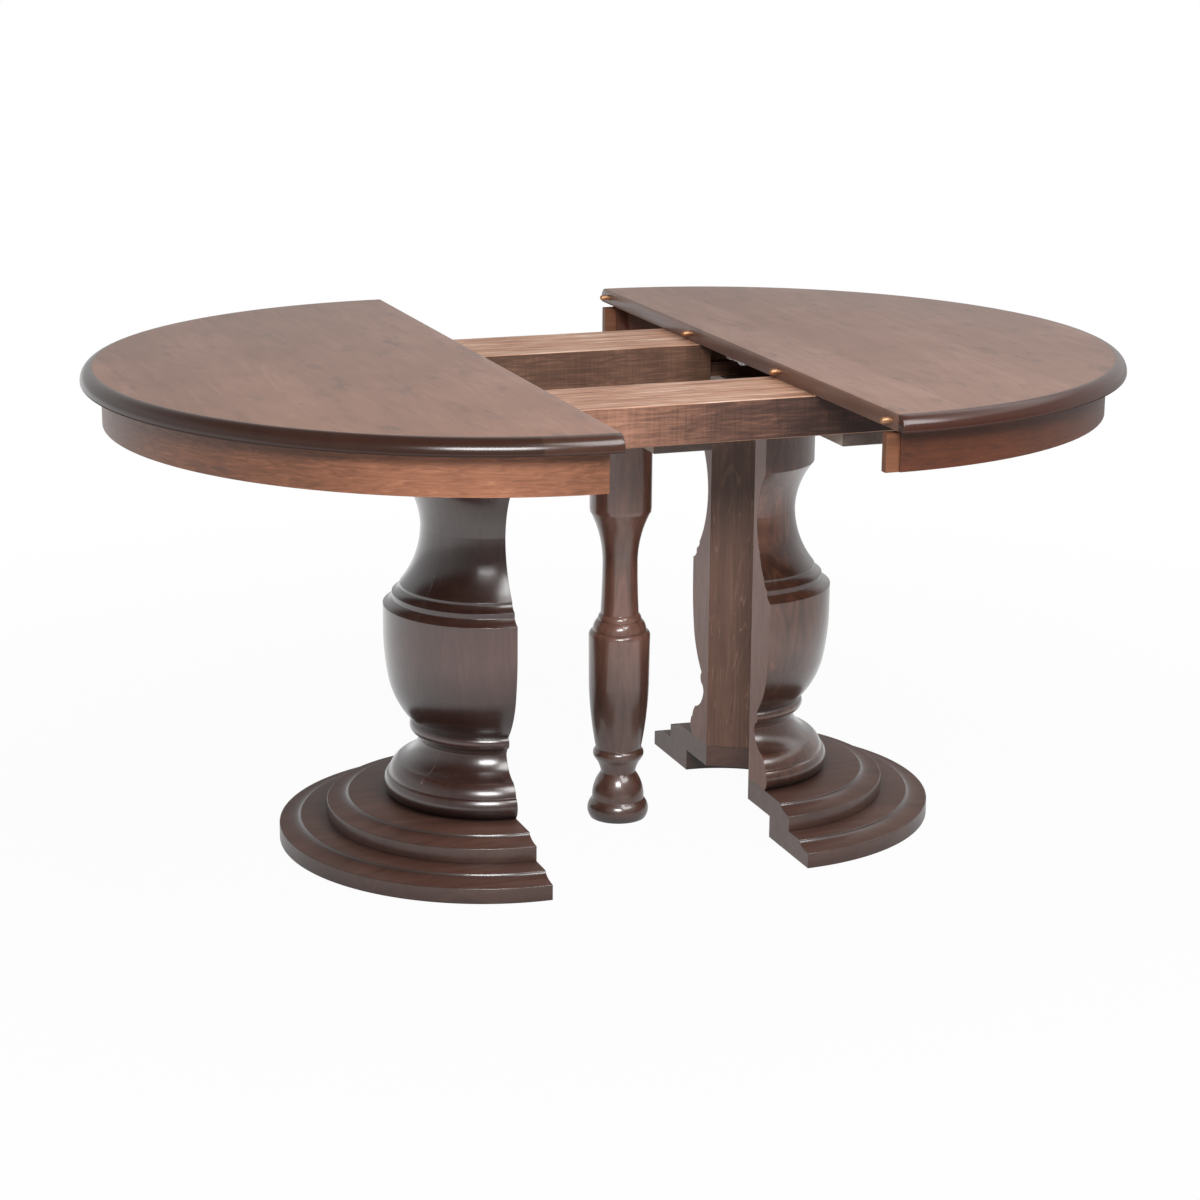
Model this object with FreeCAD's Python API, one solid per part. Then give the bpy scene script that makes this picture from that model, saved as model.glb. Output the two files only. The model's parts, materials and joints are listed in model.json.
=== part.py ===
import FreeCAD, Part
import math
import os
from FreeCAD import Vector

# Round extension table, sawn in two through its top and its pedestal.
# The halves stand pulled apart, and a turned leg holds the slides up between them.
# Millimetres. X runs along the slides, Z up from the floor, origin midway between the rims.

# Overall sizes
table_height = 762.0
top_radius = 610.0
top_thick = 25.0
top_edge_round = 14.0
top_under_round = 7.0

# How far each half stands from the middle of the centre leg
left_open = 222.0
right_open = 188.0

# Apron under the rim of the top
apron_overhang = 31.0
apron_thick = 19.0
apron_tall = 61.0
apron_setback = 11.0
tongue_thick = 13.0
tongue_hold = 28.0
tongue_under_top = 5.0
tongue_end_gap = 1.0
glue_play = 0.1

# Corner blocks that tie the apron to the top
block_deep = 28.0
block_wide = 42.0
block_tall = 40.0
block_angles = (-85.0, -62.0, 0.0, 62.0, 85.0)

# Slides: five runners side by side in a front and a back bundle
runner_wide = 32.0
runner_tall = 61.0
runner_end_gap = 28.0
runner_gap = 0.8
runner_arris = 1.2
slide_play = 0.5
slide_inner = 148.0
key_deep = 8.0
key_neck = 12.0
key_tip = 18.0
key_play = 0.5
seat_bite = 2.0

# Boards under the slides
board_thick = 22.0
board_setback = 54.0
board_wide = 160.0
board_bearing = 18.0
plank_past_runner = 19.0
plank_board_gap = 6.0
plank_column_gap = 1.0

# Half-round base plates
plate_thick = 35.0
lower_plate_radius = 327.0
upper_plate_radius = 252.0
lower_plate_hole = 177.0
plate_lip_rise = 4.5
plate_cove_rise = 6.5
plate_cove_in = 33.0
plate_cove_sag = 2.0
pedestal_setback = 2.0
cavity_flat = 78.0

# Turned pedestal, from the base plates up
torus_foot_radius = 154.0
torus_top_radius = 158.0
torus_tall = 31.0
torus_swell = 6.0
quirk_radius = 154.5
quirk_tall = 2.0
ogee_radius = 141.0
ogee_tall = 21.0
ogee_swell = 2.5
ankle_radius = 107.0
ankle_rise = 34.0
ankle_sag = 7.0
bead_foot_radius = 112.5
bead_foot_rise = 11.0
bead_foot_sag = 1.0
bead_top_radius = 116.5
bead_tall = 20.0
bead_swell = 6.5
hip_radius = 152.5
hip_rise = 64.0
hip_swell = 5.0
body_radius = 161.0
body_rise = 80.0
body_swell = 2.1
body_straight = 44.0
ring_radius = 147.0
ring_tall = 8.0
collar_radius = 135.0
collar_tall = 4.0
ring_cove_rise = 10.0
ring_cove_sag = 1.5
neck_radius = 102.0
neck_lower_rise = 92.0
neck_lower_sag = 8.3
neck_upper_rise = 77.0
neck_upper_sag = 6.8
block_radius = 131.0

# Turned centre leg, from the floor up
leg_foot_radius = 45.0
leg_foot_top_radius = 43.0
leg_foot_tall = 29.0
leg_foot_swell = 5.0
leg_quirk_radius = 41.5
leg_quirk_tall = 2.0
leg_ankle_radius = 27.5
leg_ball_tall = 44.0
leg_ball_swell = 4.2
leg_cup_radius = 38.5
leg_cup_rise = 25.0
leg_cup_sag = 1.8
leg_bead_radius = 36.3
leg_bead_tall = 16.0
leg_bead_swell = 3.3
leg_hip_radius = 48.2
leg_hip_rise = 103.0
leg_hip_swell = 2.0
leg_radius = 49.2
leg_body_rise = 83.0
leg_shoulder_radius = 44.0
leg_shoulder_rise = 9.5
leg_shoulder_swell = 1.6
leg_ring_foot_radius = 43.0
leg_ring_radius = 36.0
leg_ring_rise = 17.0
leg_ring_swell = 1.8
leg_collar_foot_radius = 35.0
leg_collar_radius = 30.6
leg_collar_rise = 10.5
leg_collar_swell = 1.2
leg_neck_radius = 27.9
leg_neck_rise = 84.0
leg_neck_sag = 0.6
leg_flare_radius = 48.5
leg_flare_rise = 82.0
leg_flare_sag = 5.2
leg_arris_rise = 6.0

# Floor glides
glide_radius = 13.0
glide_thick = 5.0
glide_proud = 1.5
glide_ring_radius = 285.0
glide_angles = (-68.0, 0.0, 68.0)

# Pins that line up the two tops, or a leaf between them
pin_radius = 4.75
pin_stem_radius = 4.0
pin_out = 17.0
pin_held = 22.0
pin_inner = 180.0
pin_rim_inset = 41.0
pin_play = 0.4
socket_spare = 2.0

# Lock under the middle of the tops
lock_plate_thick = 3.0
lock_plate_inset = 4.0
lock_plate_deep = 30.0
lock_plate_wide = 44.0
lock_pivot_inset = 17.0
lock_pivot_radius = 4.0
lock_pivot_head = 7.0
lock_pivot_head_tall = 2.5
lever_thick = 4.0
lever_lift = 0.4
lever_hub = 9.0
lever_arm_wide = 7.0
lever_hook_wide = 5.0
lever_hook_sweep = 70.0
lever_handle = 20.0
lever_rest = 95.0
lever_play = 0.3
stud_radius = 3.0
stud_inset = 8.0
stud_long = 6.0
stud_play = 1.0
keeper_wide = 36.0

# Fasteners
screw_radius = 2.4
screw_head_radius = 4.8
screw_head_tall = 3.0
screw_play = 0.2
long_screw = 40.0
short_screw = 14.0
base_screw = 52.0
lower_screw_ring = 225.0
upper_screw_ring = 116.0
column_screw_ring = 104.0
column_screw_angle = 47.0
screw_edge = 24.0
top_screw_bite = 14.0
lock_screw_edge = 7.0
bolt_radius = 5.0
bolt_in_leg = 60.0
washer_radius = 14.0
washer_thick = 2.0
nut_radius = 9.5
nut_tall = 8.0
bolt_past_nut = 4.0

# Heights that follow from the sizes above
top_under = table_height - top_thick
board_top = top_under - runner_tall - 2 * slide_play
column_top = board_top - board_thick
plank_bottom = column_top + plank_column_gap
runner_low = board_top + slide_play
runner_high = top_under - slide_play
upper_plate_low = glide_proud + plate_thick
column_foot = upper_plate_low + plate_thick
pin_height = top_under + top_thick / 2

# Places along X that follow from the sizes above
half_gap = (left_open + right_open) / 2
leg_x = (left_open - right_open) / 2
plank_half = board_setback - plank_board_gap

# Runners are counted outwards from the middle of the table
LEFT_ORDER = 0
LEFT_MID_ORDER = 1
CENTRE_ORDER = 2
RIGHT_MID_ORDER = 3
RIGHT_ORDER = 4

# The rim sets the apron, and the apron sets how long the runners can be when the table is shut
pin_outer = top_radius - pin_rim_inset
apron_radius = top_radius - apron_overhang
apron_inner = apron_radius - apron_thick
runner_pitch = runner_wide + runner_gap
slide_outer = slide_inner + RIGHT_ORDER * runner_pitch + runner_wide
runner_length = 2 * math.sqrt((apron_inner - runner_end_gap) ** 2 - slide_outer ** 2)

FLOOR_CENTRE = Vector(0, 0, 0)
UPWARD = Vector(0, 0, 1)
ALONG_SLIDES = Vector(1, 0, 0)
QUARTER_BULGE = 1 - math.cos(math.pi / 4)
STAVE_SWEEP = 60
STAVE_ANGLES = (-STAVE_SWEEP, 0, STAVE_SWEEP)
CUT_PAST = 1.0


# Shared shapes

def box(x_span, y_span, z_span):
    size = [span[1] - span[0] for span in (x_span, y_span, z_span)]
    return Part.makeBox(*size, Vector(x_span[0], y_span[0], z_span[0]))


def post(radius, length, foot, along=UPWARD):
    return Part.makeCylinder(radius, length, foot, along)


def eased(solid, arris):
    return solid.makeChamfer(arris, solid.Edges)


def spot(radius, angle, height):
    turn = math.radians(angle)
    return Vector(radius * math.cos(turn), radius * math.sin(turn), height)


def turned(radius, height, members, core, from_angle, sweep):
    """Revolve an outline that climbs member by member: end radius, rise, bulge of its arc."""
    edges = []
    here = Vector(radius, 0, height)
    foot = here
    for end_radius, rise, bulge in members:
        there = Vector(end_radius, 0, here.z + rise)
        if bulge:
            along = there - here
            outward = Vector(along.z, 0, -along.x).normalize()
            middle = (here + there) * 0.5 + outward * bulge
            edges.append(Part.Arc(here, middle, there).toShape())
        else:
            edges.append(Part.makeLine(here, there))
        here = there
    core_top = Vector(core, 0, here.z)
    core_foot = Vector(core, 0, height)
    edges.append(Part.makeLine(here, core_top))
    edges.append(Part.makeLine(core_top, core_foot))
    edges.append(Part.makeLine(core_foot, foot))
    solid = Part.Face(Part.Wire(edges)).revolve(FLOOR_CENTRE, UPWARD, sweep)
    solid.rotate(FLOOR_CENTRE, UPWARD, from_angle)
    return solid


def half_turned(radius, height, members, core):
    return turned(radius, height, members, core, -90, 180)


def behind(solid, setback):
    """Trim a half so that its split face stands back from the split plane."""
    reach = solid.BoundBox
    across = (reach.YMin - CUT_PAST, reach.YMax + CUT_PAST)
    height = (reach.ZMin - CUT_PAST, reach.ZMax + CUT_PAST)
    return solid.cut(box((-setback, setback), across, height))


def wood_screw(head, length, pointing, play=0.0):
    """Countersunk screw with its head's face at a point, pointing up (1) or down (-1)."""
    cone = Part.makeCone(screw_head_radius + play, screw_radius + play, screw_head_tall)
    shank = post(screw_radius + play, length + play - screw_head_tall, Vector(0, 0, screw_head_tall))
    solid = cone.fuse(shank)
    if pointing < 0:
        solid.rotate(FLOOR_CENTRE, ALONG_SLIDES, 180)
    solid.translate(head)
    return solid


def screws(spots, length, pointing):
    return Part.makeCompound([wood_screw(head, length, pointing) for head in spots])


def drilled(solid, spots, length, pointing):
    for head in spots:
        solid = solid.cut(wood_screw(head, length, pointing, screw_play))
    return solid


def on_side(shape, side):
    """Place a half's piece, made with its split plane at X = 0, on the right (1) or left (-1)."""
    placed = shape.copy()
    if side < 0:
        placed.rotate(FLOOR_CENTRE, UPWARD, 180)
    placed.translate(Vector(side * half_gap, 0, 0))
    return placed


# Where the fasteners of one half sit, in the half's own frame

def runner_inner(order):
    return slide_inner + order * runner_pitch


def runner_middle(order):
    return runner_inner(order) + runner_wide / 2


def board_screw_spots(order):
    line = runner_inner(order) + board_bearing / 2
    ends = (board_setback + screw_edge, board_setback + board_wide - screw_edge)
    return [Vector(x, side * line, column_top) for x in ends for side in (-1, 1)]


def top_screw_spots(order):
    middle = runner_middle(order)
    far_end = runner_length / 2 - screw_edge
    head_height = top_under + top_screw_bite - long_screw
    return [Vector(far_end, side * middle, head_height) for side in (-1, 1)]


COLUMN_SCREW_ANGLES = (-column_screw_angle, 0, column_screw_angle)
column_screw_spots = [spot(column_screw_ring, angle, board_top) for angle in COLUMN_SCREW_ANGLES]
upper_screw_spots = [spot(upper_screw_ring, angle, upper_plate_low) for angle in STAVE_ANGLES]
lower_screw_spots = [spot(lower_screw_ring, angle, glide_proud) for angle in STAVE_ANGLES]
lock_screw_x = lock_plate_inset + lock_plate_deep - lock_screw_edge


def lock_screw_spots(wide):
    reach = wide / 2 - lock_screw_edge
    return [Vector(lock_screw_x, side * reach, top_under - lock_plate_thick) for side in (-1, 1)]


# Tops and aprons

def half_top():
    straight = top_thick - top_edge_round - top_under_round
    members = [
        (top_radius, top_under_round, QUARTER_BULGE * top_under_round),
        (top_radius, straight, 0),
        (top_radius - top_edge_round, top_edge_round, QUARTER_BULGE * top_edge_round),
    ]
    return half_turned(top_radius - top_under_round, top_under, members, 0).removeSplitter()


def pin_places():
    return [side * y for y in (pin_inner, pin_outer) for side in (-1, 1)]


def top_with_holes(radius, depth, order, lock_wide):
    """A half top drilled for its pins, its runners' screws and its lock."""
    solid = half_top()
    for y in pin_places():
        solid = solid.cut(post(radius, depth, Vector(0, y, pin_height), ALONG_SLIDES))
    solid = drilled(solid, top_screw_spots(order), long_screw, 1)
    return drilled(solid, lock_screw_spots(lock_wide), short_screw, 1)


def leaf_pin(y):
    """Round-nosed pin that stops with its shoulder at the split face, on a thinner stem."""
    nose_centre = Vector(pin_radius - pin_out, y, pin_height)
    nose = Part.makeSphere(pin_radius, nose_centre)
    nose = nose.cut(box((nose_centre.x, pin_out), (y - pin_out, y + pin_out), (top_under, table_height)))
    barrel = post(pin_radius, -nose_centre.x, nose_centre, ALONG_SLIDES)
    stem = post(pin_stem_radius, pin_held, Vector(0, y, pin_height), ALONG_SLIDES)
    return barrel.fuse([nose, stem]).removeSplitter()


def half_apron():
    members = [(apron_radius, apron_tall, 0)]
    ring = half_turned(apron_radius, top_under - apron_tall, members, apron_inner)
    return behind(ring, apron_setback)


def apron_tongue(side, play=0.0):
    """Tongue let into the apron's end, standing out to fill the gap to the other apron."""
    middle = side * (apron_radius - apron_thick / 2)
    end = -(apron_setback - tongue_end_gap)
    across = tongue_thick / 2 + play
    height = (top_under - apron_tall, top_under - tongue_under_top + play)
    return box((end, apron_setback + tongue_hold + play), (middle - across, middle + across), height)


def apron_block(angle):
    """Rectangular block in the corner of apron and top, its back hollowed to the apron."""
    foot = top_under - block_tall
    across = (-block_wide / 2, block_wide / 2)
    solid = box((apron_inner - block_deep, apron_inner), across, (foot, top_under))
    solid = solid.common(post(apron_inner, block_tall, Vector(0, 0, foot)))
    solid.rotate(FLOOR_CENTRE, UPWARD, angle)
    return behind(solid, apron_setback)


# Slides

def key_half(distance):
    """Half height of the dovetail key at a distance from the runner that carries it."""
    return key_neck / 2 + (key_tip - key_neck) / 2 * distance / (runner_gap + key_deep)


def runner(order, bundle, x_from, has_groove, has_key):
    """One runner of the front (-1) or back (1) bundle, counted outwards from the middle."""
    inner = runner_inner(order)
    outer = inner + runner_wide
    middle = (runner_low + runner_high) / 2
    tip = runner_gap + key_deep
    points = [(inner + runner_arris, runner_low), (outer - runner_arris, runner_low),
              (outer, runner_low + runner_arris)]
    if has_key:
        points += [(outer, middle - key_half(0)), (outer + tip, middle - key_half(tip)),
                   (outer + tip, middle + key_half(tip)), (outer, middle + key_half(0))]
    points += [(outer, runner_high - runner_arris), (outer - runner_arris, runner_high),
               (inner + runner_arris, runner_high), (inner, runner_high - runner_arris)]
    if has_groove:
        floor = key_deep + key_play
        mouth_half = key_half(runner_gap) + key_play
        floor_half = key_half(tip + key_play) + key_play
        points += [(inner, middle + mouth_half), (inner + floor, middle + floor_half),
                   (inner + floor, middle - floor_half), (inner, middle - mouth_half)]
    points += [(inner, runner_low + runner_arris)]
    corners = [Vector(x_from, bundle * y, z) for y, z in points]
    section = Part.Face(Part.makePolygon(corners + corners[:1]))
    return section.extrude(Vector(runner_length, 0, 0))


def seated(solid, order, bundle, x_span, z_span):
    """Thicken a runner by its play where it is fastened, so that it seats there."""
    inner = runner_inner(order) + runner_arris
    y_span = sorted((bundle * inner, bundle * (inner + runner_wide - 2 * runner_arris)))
    return solid.fuse(box(x_span, y_span, z_span)).removeSplitter()


def fixed_runner(order, side, bundle):
    """Runner fastened under one half's top and on its board, reaching out past its split face."""
    closed_reach = runner_length / 2
    solid = runner(order, bundle, -closed_reach, order > LEFT_ORDER, order < RIGHT_ORDER)
    x_span = (board_setback, board_setback + board_wide)
    solid = seated(solid, order, bundle, x_span, (board_top, runner_low + seat_bite))
    top_span = (board_setback, closed_reach - screw_edge / 2)
    solid = seated(solid, order, bundle, top_span, (runner_high - seat_bite, top_under))
    spots = [head for head in board_screw_spots(order) if head.y * bundle > 0]
    solid = drilled(solid, spots, long_screw, 1)
    spots = [head for head in top_screw_spots(order) if head.y * bundle > 0]
    solid = drilled(solid, spots, long_screw, 1)
    for head in spots:
        below = Vector(head.x, head.y, board_top)
        solid = solid.cut(post(screw_head_radius + screw_play, head.z - board_top, below))
    if side < 0:
        solid = solid.mirror(FLOOR_CENTRE, ALONG_SLIDES)
    solid.translate(Vector(side * half_gap, 0, 0))
    return solid


def middle_runner(order, side, bundle):
    """Runner between a fixed one and the centre one, drawn out half as far as its half."""
    opened = right_open if side > 0 else left_open
    return runner(order, bundle, leg_x + side * opened / 2 - runner_length / 2, True, True)


def plank_screw_spots():
    offset = plank_half - screw_edge
    middle = runner_middle(CENTRE_ORDER)
    return [Vector(leg_x + x * offset, y * middle, plank_bottom) for x in (-1, 1) for y in (-1, 1)]


def centre_runner(bundle):
    solid = runner(CENTRE_ORDER, bundle, leg_x - runner_length / 2, True, True)
    x_span = (leg_x - plank_half, leg_x + plank_half)
    solid = seated(solid, CENTRE_ORDER, bundle, x_span, (board_top, runner_low + seat_bite))
    spots = [head for head in plank_screw_spots() if head.y * bundle > 0]
    return drilled(solid, spots, long_screw, 1)


def cross_plank():
    reach = runner_inner(CENTRE_ORDER) + runner_wide + plank_past_runner
    solid = box((leg_x - plank_half, leg_x + plank_half), (-reach, reach), (plank_bottom, board_top))
    solid = drilled(eased(solid, runner_arris), plank_screw_spots(), long_screw, 1)
    bolt_hole = post(bolt_radius + screw_play, board_top - plank_bottom, Vector(leg_x, 0, plank_bottom))
    return solid.cut(bolt_hole)


# Pedestal halves

def pedestal_board(order):
    reach = runner_inner(RIGHT_ORDER) + board_bearing
    solid = box((board_setback, board_setback + board_wide), (-reach, reach), (column_top, board_top))
    solid = drilled(eased(solid, runner_arris), board_screw_spots(order), long_screw, 1)
    return drilled(solid, column_screw_spots, long_screw, -1)


def stave(angle):
    """A third of a half column: a turned wedge with a flat inner face."""
    members = [
        (torus_top_radius, torus_tall, torus_swell),
        (quirk_radius, quirk_tall, 0),
        (ogee_radius, ogee_tall, ogee_swell),
        (ankle_radius, ankle_rise, -ankle_sag),
        (bead_foot_radius, bead_foot_rise, -bead_foot_sag),
        (bead_top_radius, bead_tall, bead_swell),
        (hip_radius, hip_rise, hip_swell),
        (body_radius, body_rise, body_swell),
        (body_radius, body_straight, 0),
        (ring_radius, ring_cove_rise, -ring_cove_sag),
        (ring_radius, ring_tall, 0),
        (collar_radius, ring_cove_rise, -ring_cove_sag),
        (collar_radius, collar_tall, 0),
        (neck_radius, neck_lower_rise, -neck_lower_sag),
        (block_radius, neck_upper_rise, -neck_upper_sag),
    ]
    risen = sum(rise for _, rise, _ in members)
    members.append((block_radius, column_top - column_foot - risen, 0))
    wedge = turned(torus_foot_radius, column_foot, members, 0, -STAVE_SWEEP / 2, STAVE_SWEEP)
    height = (column_foot - CUT_PAST, column_top + CUT_PAST)
    solid = wedge.cut(box((-CUT_PAST, cavity_flat), (-cavity_flat, cavity_flat), height))
    solid.rotate(FLOOR_CENTRE, UPWARD, angle)
    solid = behind(solid, pedestal_setback)
    solid = drilled(solid, column_screw_spots, long_screw, -1)
    return drilled(solid, upper_screw_spots, base_screw, 1)


def plate_members(radius):
    band = plate_thick - plate_cove_rise - plate_lip_rise
    return [
        (radius, band, 0),
        (radius - plate_cove_in, plate_cove_rise, -plate_cove_sag),
        (radius - plate_cove_in, plate_lip_rise, 0),
    ]


def upper_plate():
    solid = half_turned(upper_plate_radius, upper_plate_low, plate_members(upper_plate_radius), 0)
    corner = cavity_flat / math.cos(math.radians(STAVE_SWEEP / 2))
    foot = upper_plate_low - CUT_PAST
    ring = [spot(corner, STAVE_SWEEP * (count + 0.5), foot) for count in range(7)]
    hollow = Part.Face(Part.makePolygon(ring)).extrude(Vector(0, 0, plate_thick + 2 * CUT_PAST))
    solid = behind(solid.cut(hollow), pedestal_setback)
    solid = drilled(solid, upper_screw_spots, base_screw, 1)
    return drilled(solid, lower_screw_spots, base_screw, 1)


def glide_places():
    return [spot(glide_ring_radius, angle, 0) for angle in glide_angles]


def lower_plate():
    members = plate_members(lower_plate_radius)
    solid = half_turned(lower_plate_radius, glide_proud, members, lower_plate_hole)
    solid = behind(solid, pedestal_setback)
    for place in glide_places():
        solid = solid.cut(post(glide_radius + glue_play, glide_thick, place))
    return drilled(solid, lower_screw_spots, base_screw, 1)


def glide(place):
    return post(glide_radius, glide_thick, place)


# Centre leg

def centre_leg():
    members = [
        (leg_foot_top_radius, leg_foot_tall, leg_foot_swell),
        (leg_quirk_radius, leg_quirk_tall, 0),
        (leg_ankle_radius, leg_ball_tall, leg_ball_swell),
        (leg_cup_radius, leg_cup_rise, -leg_cup_sag),
        (leg_bead_radius, leg_bead_tall, leg_bead_swell),
        (leg_hip_radius, leg_hip_rise, leg_hip_swell),
        (leg_radius, leg_body_rise, 0),
        (leg_shoulder_radius, leg_shoulder_rise, leg_shoulder_swell),
        (leg_ring_foot_radius, 0, 0),
        (leg_ring_radius, leg_ring_rise, leg_ring_swell),
        (leg_collar_foot_radius, 0, 0),
        (leg_collar_radius, leg_collar_rise, leg_collar_swell),
        (leg_neck_radius, leg_neck_rise, -leg_neck_sag),
        (leg_flare_radius, leg_flare_rise, -leg_flare_sag),
        (leg_radius, leg_arris_rise, 0),
    ]
    risen = sum(rise for _, rise, _ in members)
    members.append((leg_radius, plank_bottom - glide_proud - risen, 0))
    solid = turned(leg_foot_radius, glide_proud, members, 0, 0, 360)
    solid = solid.cut(post(glide_radius + glue_play, glide_thick, FLOOR_CENTRE))
    bolt_foot = Vector(0, 0, plank_bottom - bolt_in_leg)
    solid = solid.cut(post(bolt_radius + screw_play, bolt_in_leg, bolt_foot))
    solid.translate(Vector(leg_x, 0, 0))
    return solid


def leg_bolt():
    foot = plank_bottom - bolt_in_leg
    length = board_top + washer_thick + nut_tall + bolt_past_nut - foot
    return post(bolt_radius, length, Vector(leg_x, 0, foot))


def leg_washer():
    foot = Vector(leg_x, 0, board_top)
    hole = post(bolt_radius + screw_play, washer_thick, foot)
    return post(washer_radius, washer_thick, foot).cut(hole)


def leg_nut():
    foot = Vector(leg_x, 0, board_top + washer_thick)
    ring = [spot(nut_radius, angle, 0) + foot for angle in range(0, 361, 60)]
    solid = Part.Face(Part.makePolygon(ring)).extrude(Vector(0, 0, nut_tall))
    return solid.cut(post(bolt_radius + screw_play, nut_tall, foot))


# Lock: a plate with a pivot and a hooked lever on the right, a plate with a stud on the left

lever_top = top_under - lock_plate_thick - lever_lift
lever_low = lever_top - lever_thick


def lock_plate(wide):
    x_span = (lock_plate_inset, lock_plate_inset + lock_plate_deep)
    solid = box(x_span, (-wide / 2, wide / 2), (top_under - lock_plate_thick, top_under))
    return drilled(solid, lock_screw_spots(wide), short_screw, 1)


def lock_body():
    """Plate with the pivot under it, headed to hold the lever up."""
    head_top = lever_low - lever_lift
    pivot_foot = Vector(lock_pivot_inset, 0, head_top)
    pivot = post(lock_pivot_radius, top_under - lock_plate_thick - head_top, pivot_foot)
    head_foot = Vector(lock_pivot_inset, 0, head_top - lock_pivot_head_tall)
    head = post(lock_pivot_head, lock_pivot_head_tall, head_foot)
    return lock_plate(lock_plate_wide).fuse([pivot, head]).removeSplitter()


def lock_keeper():
    foot = Vector(stud_inset, 0, top_under - lock_plate_thick - stud_long)
    return lock_plate(keeper_wide).fuse(post(stud_radius, stud_long, foot)).removeSplitter()


def lock_lever():
    """Hub, arm and handle in one line, with a hook that curls round the pivot."""
    hook_inner = lock_pivot_inset + stud_inset + stud_radius + stud_play
    hook_outer = hook_inner + lever_hook_wide
    hub = post(lever_hub, lever_thick, Vector(0, 0, lever_low))
    across = (-lever_arm_wide / 2, lever_arm_wide / 2)
    arm = box((0, hook_outer + lever_handle), across, (lever_low, lever_top))
    members = [(hook_outer, lever_thick, 0)]
    hook = turned(hook_outer, lever_low, members, hook_inner, 0, lever_hook_sweep)
    solid = hub.fuse([arm, hook])
    solid = solid.cut(post(lock_pivot_radius + lever_play, lever_thick, Vector(0, 0, lever_low)))
    solid = solid.removeSplitter()
    solid.rotate(FLOOR_CENTRE, UPWARD, lever_rest)
    solid.translate(Vector(lock_pivot_inset, 0, 0))
    return solid


# Every piece, by name

nodes = {
    "centre_leg": centre_leg(),
    "leg_glide": glide(Vector(leg_x, 0, 0)),
    "leg_bolt": leg_bolt(),
    "leg_washer": leg_washer(),
    "leg_nut": leg_nut(),
    "cross_plank": cross_plank(),
    "plank_screws": screws(plank_screw_spots(), long_screw, 1),
}

bundles = {"front": -1, "back": 1}
halves = {"left": (-1, LEFT_ORDER), "right": (1, RIGHT_ORDER)}

for bundle_name, bundle in bundles.items():
    nodes["centre_runner_" + bundle_name] = centre_runner(bundle)
    nodes["left_mid_runner_" + bundle_name] = middle_runner(LEFT_MID_ORDER, -1, bundle)
    nodes["right_mid_runner_" + bundle_name] = middle_runner(RIGHT_MID_ORDER, 1, bundle)

for half_name, (side, order) in halves.items():
    for bundle_name, bundle in bundles.items():
        nodes[half_name + "_runner_" + bundle_name] = fixed_runner(order, side, bundle)
    half_pieces = {
        "apron_blocks": Part.makeCompound([apron_block(angle) for angle in block_angles]),
        "pedestal_board": pedestal_board(order),
        "stave_front": stave(STAVE_ANGLES[0] * side),
        "stave_middle": stave(STAVE_ANGLES[1]),
        "stave_back": stave(STAVE_ANGLES[2] * side),
        "upper_base": upper_plate(),
        "lower_base": lower_plate(),
        "floor_glides": Part.makeCompound([glide(place) for place in glide_places()]),
        "board_screws": screws(board_screw_spots(order), long_screw, 1),
        "top_screws": screws(top_screw_spots(order), long_screw, 1),
        "column_screws": screws(column_screw_spots, long_screw, -1),
        "pedestal_screws": screws(upper_screw_spots, base_screw, 1),
        "base_screws": screws(lower_screw_spots, base_screw, 1),
    }
    for name, shape in half_pieces.items():
        nodes[half_name + "_" + name] = on_side(shape, side)

socket_depth = pin_out + socket_spare
left_top = top_with_holes(pin_radius + pin_play, socket_depth, LEFT_ORDER, keeper_wide)
right_top = top_with_holes(pin_stem_radius + glue_play, pin_held, RIGHT_ORDER, lock_plate_wide)
right_apron = half_apron()
for bundle in bundles.values():
    right_apron = right_apron.cut(apron_tongue(bundle, glue_play))

nodes["left_top"] = on_side(left_top, -1)
nodes["left_apron"] = on_side(half_apron(), -1)
nodes["lock_keeper"] = on_side(lock_keeper(), -1)
nodes["keeper_screws"] = on_side(screws(lock_screw_spots(keeper_wide), short_screw, 1), -1)
nodes["right_top"] = on_side(right_top, 1)
nodes["right_apron"] = on_side(right_apron, 1)
nodes["leaf_pins"] = on_side(Part.makeCompound([leaf_pin(y) for y in pin_places()]), 1)
for bundle_name, bundle in bundles.items():
    nodes["apron_tongue_" + bundle_name] = on_side(apron_tongue(bundle), 1)
nodes["lock_body"] = on_side(lock_body(), 1)
nodes["lock_screws"] = on_side(screws(lock_screw_spots(lock_plate_wide), short_screw, 1), 1)
nodes["lock_lever"] = on_side(lock_lever(), 1)

os.makedirs("parts", exist_ok=True)
for name, shape in nodes.items():
    shape.exportStep("parts/" + name + ".step")
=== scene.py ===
import json
import math

import bmesh
import bpy
from mathutils import Matrix, Vector


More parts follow.
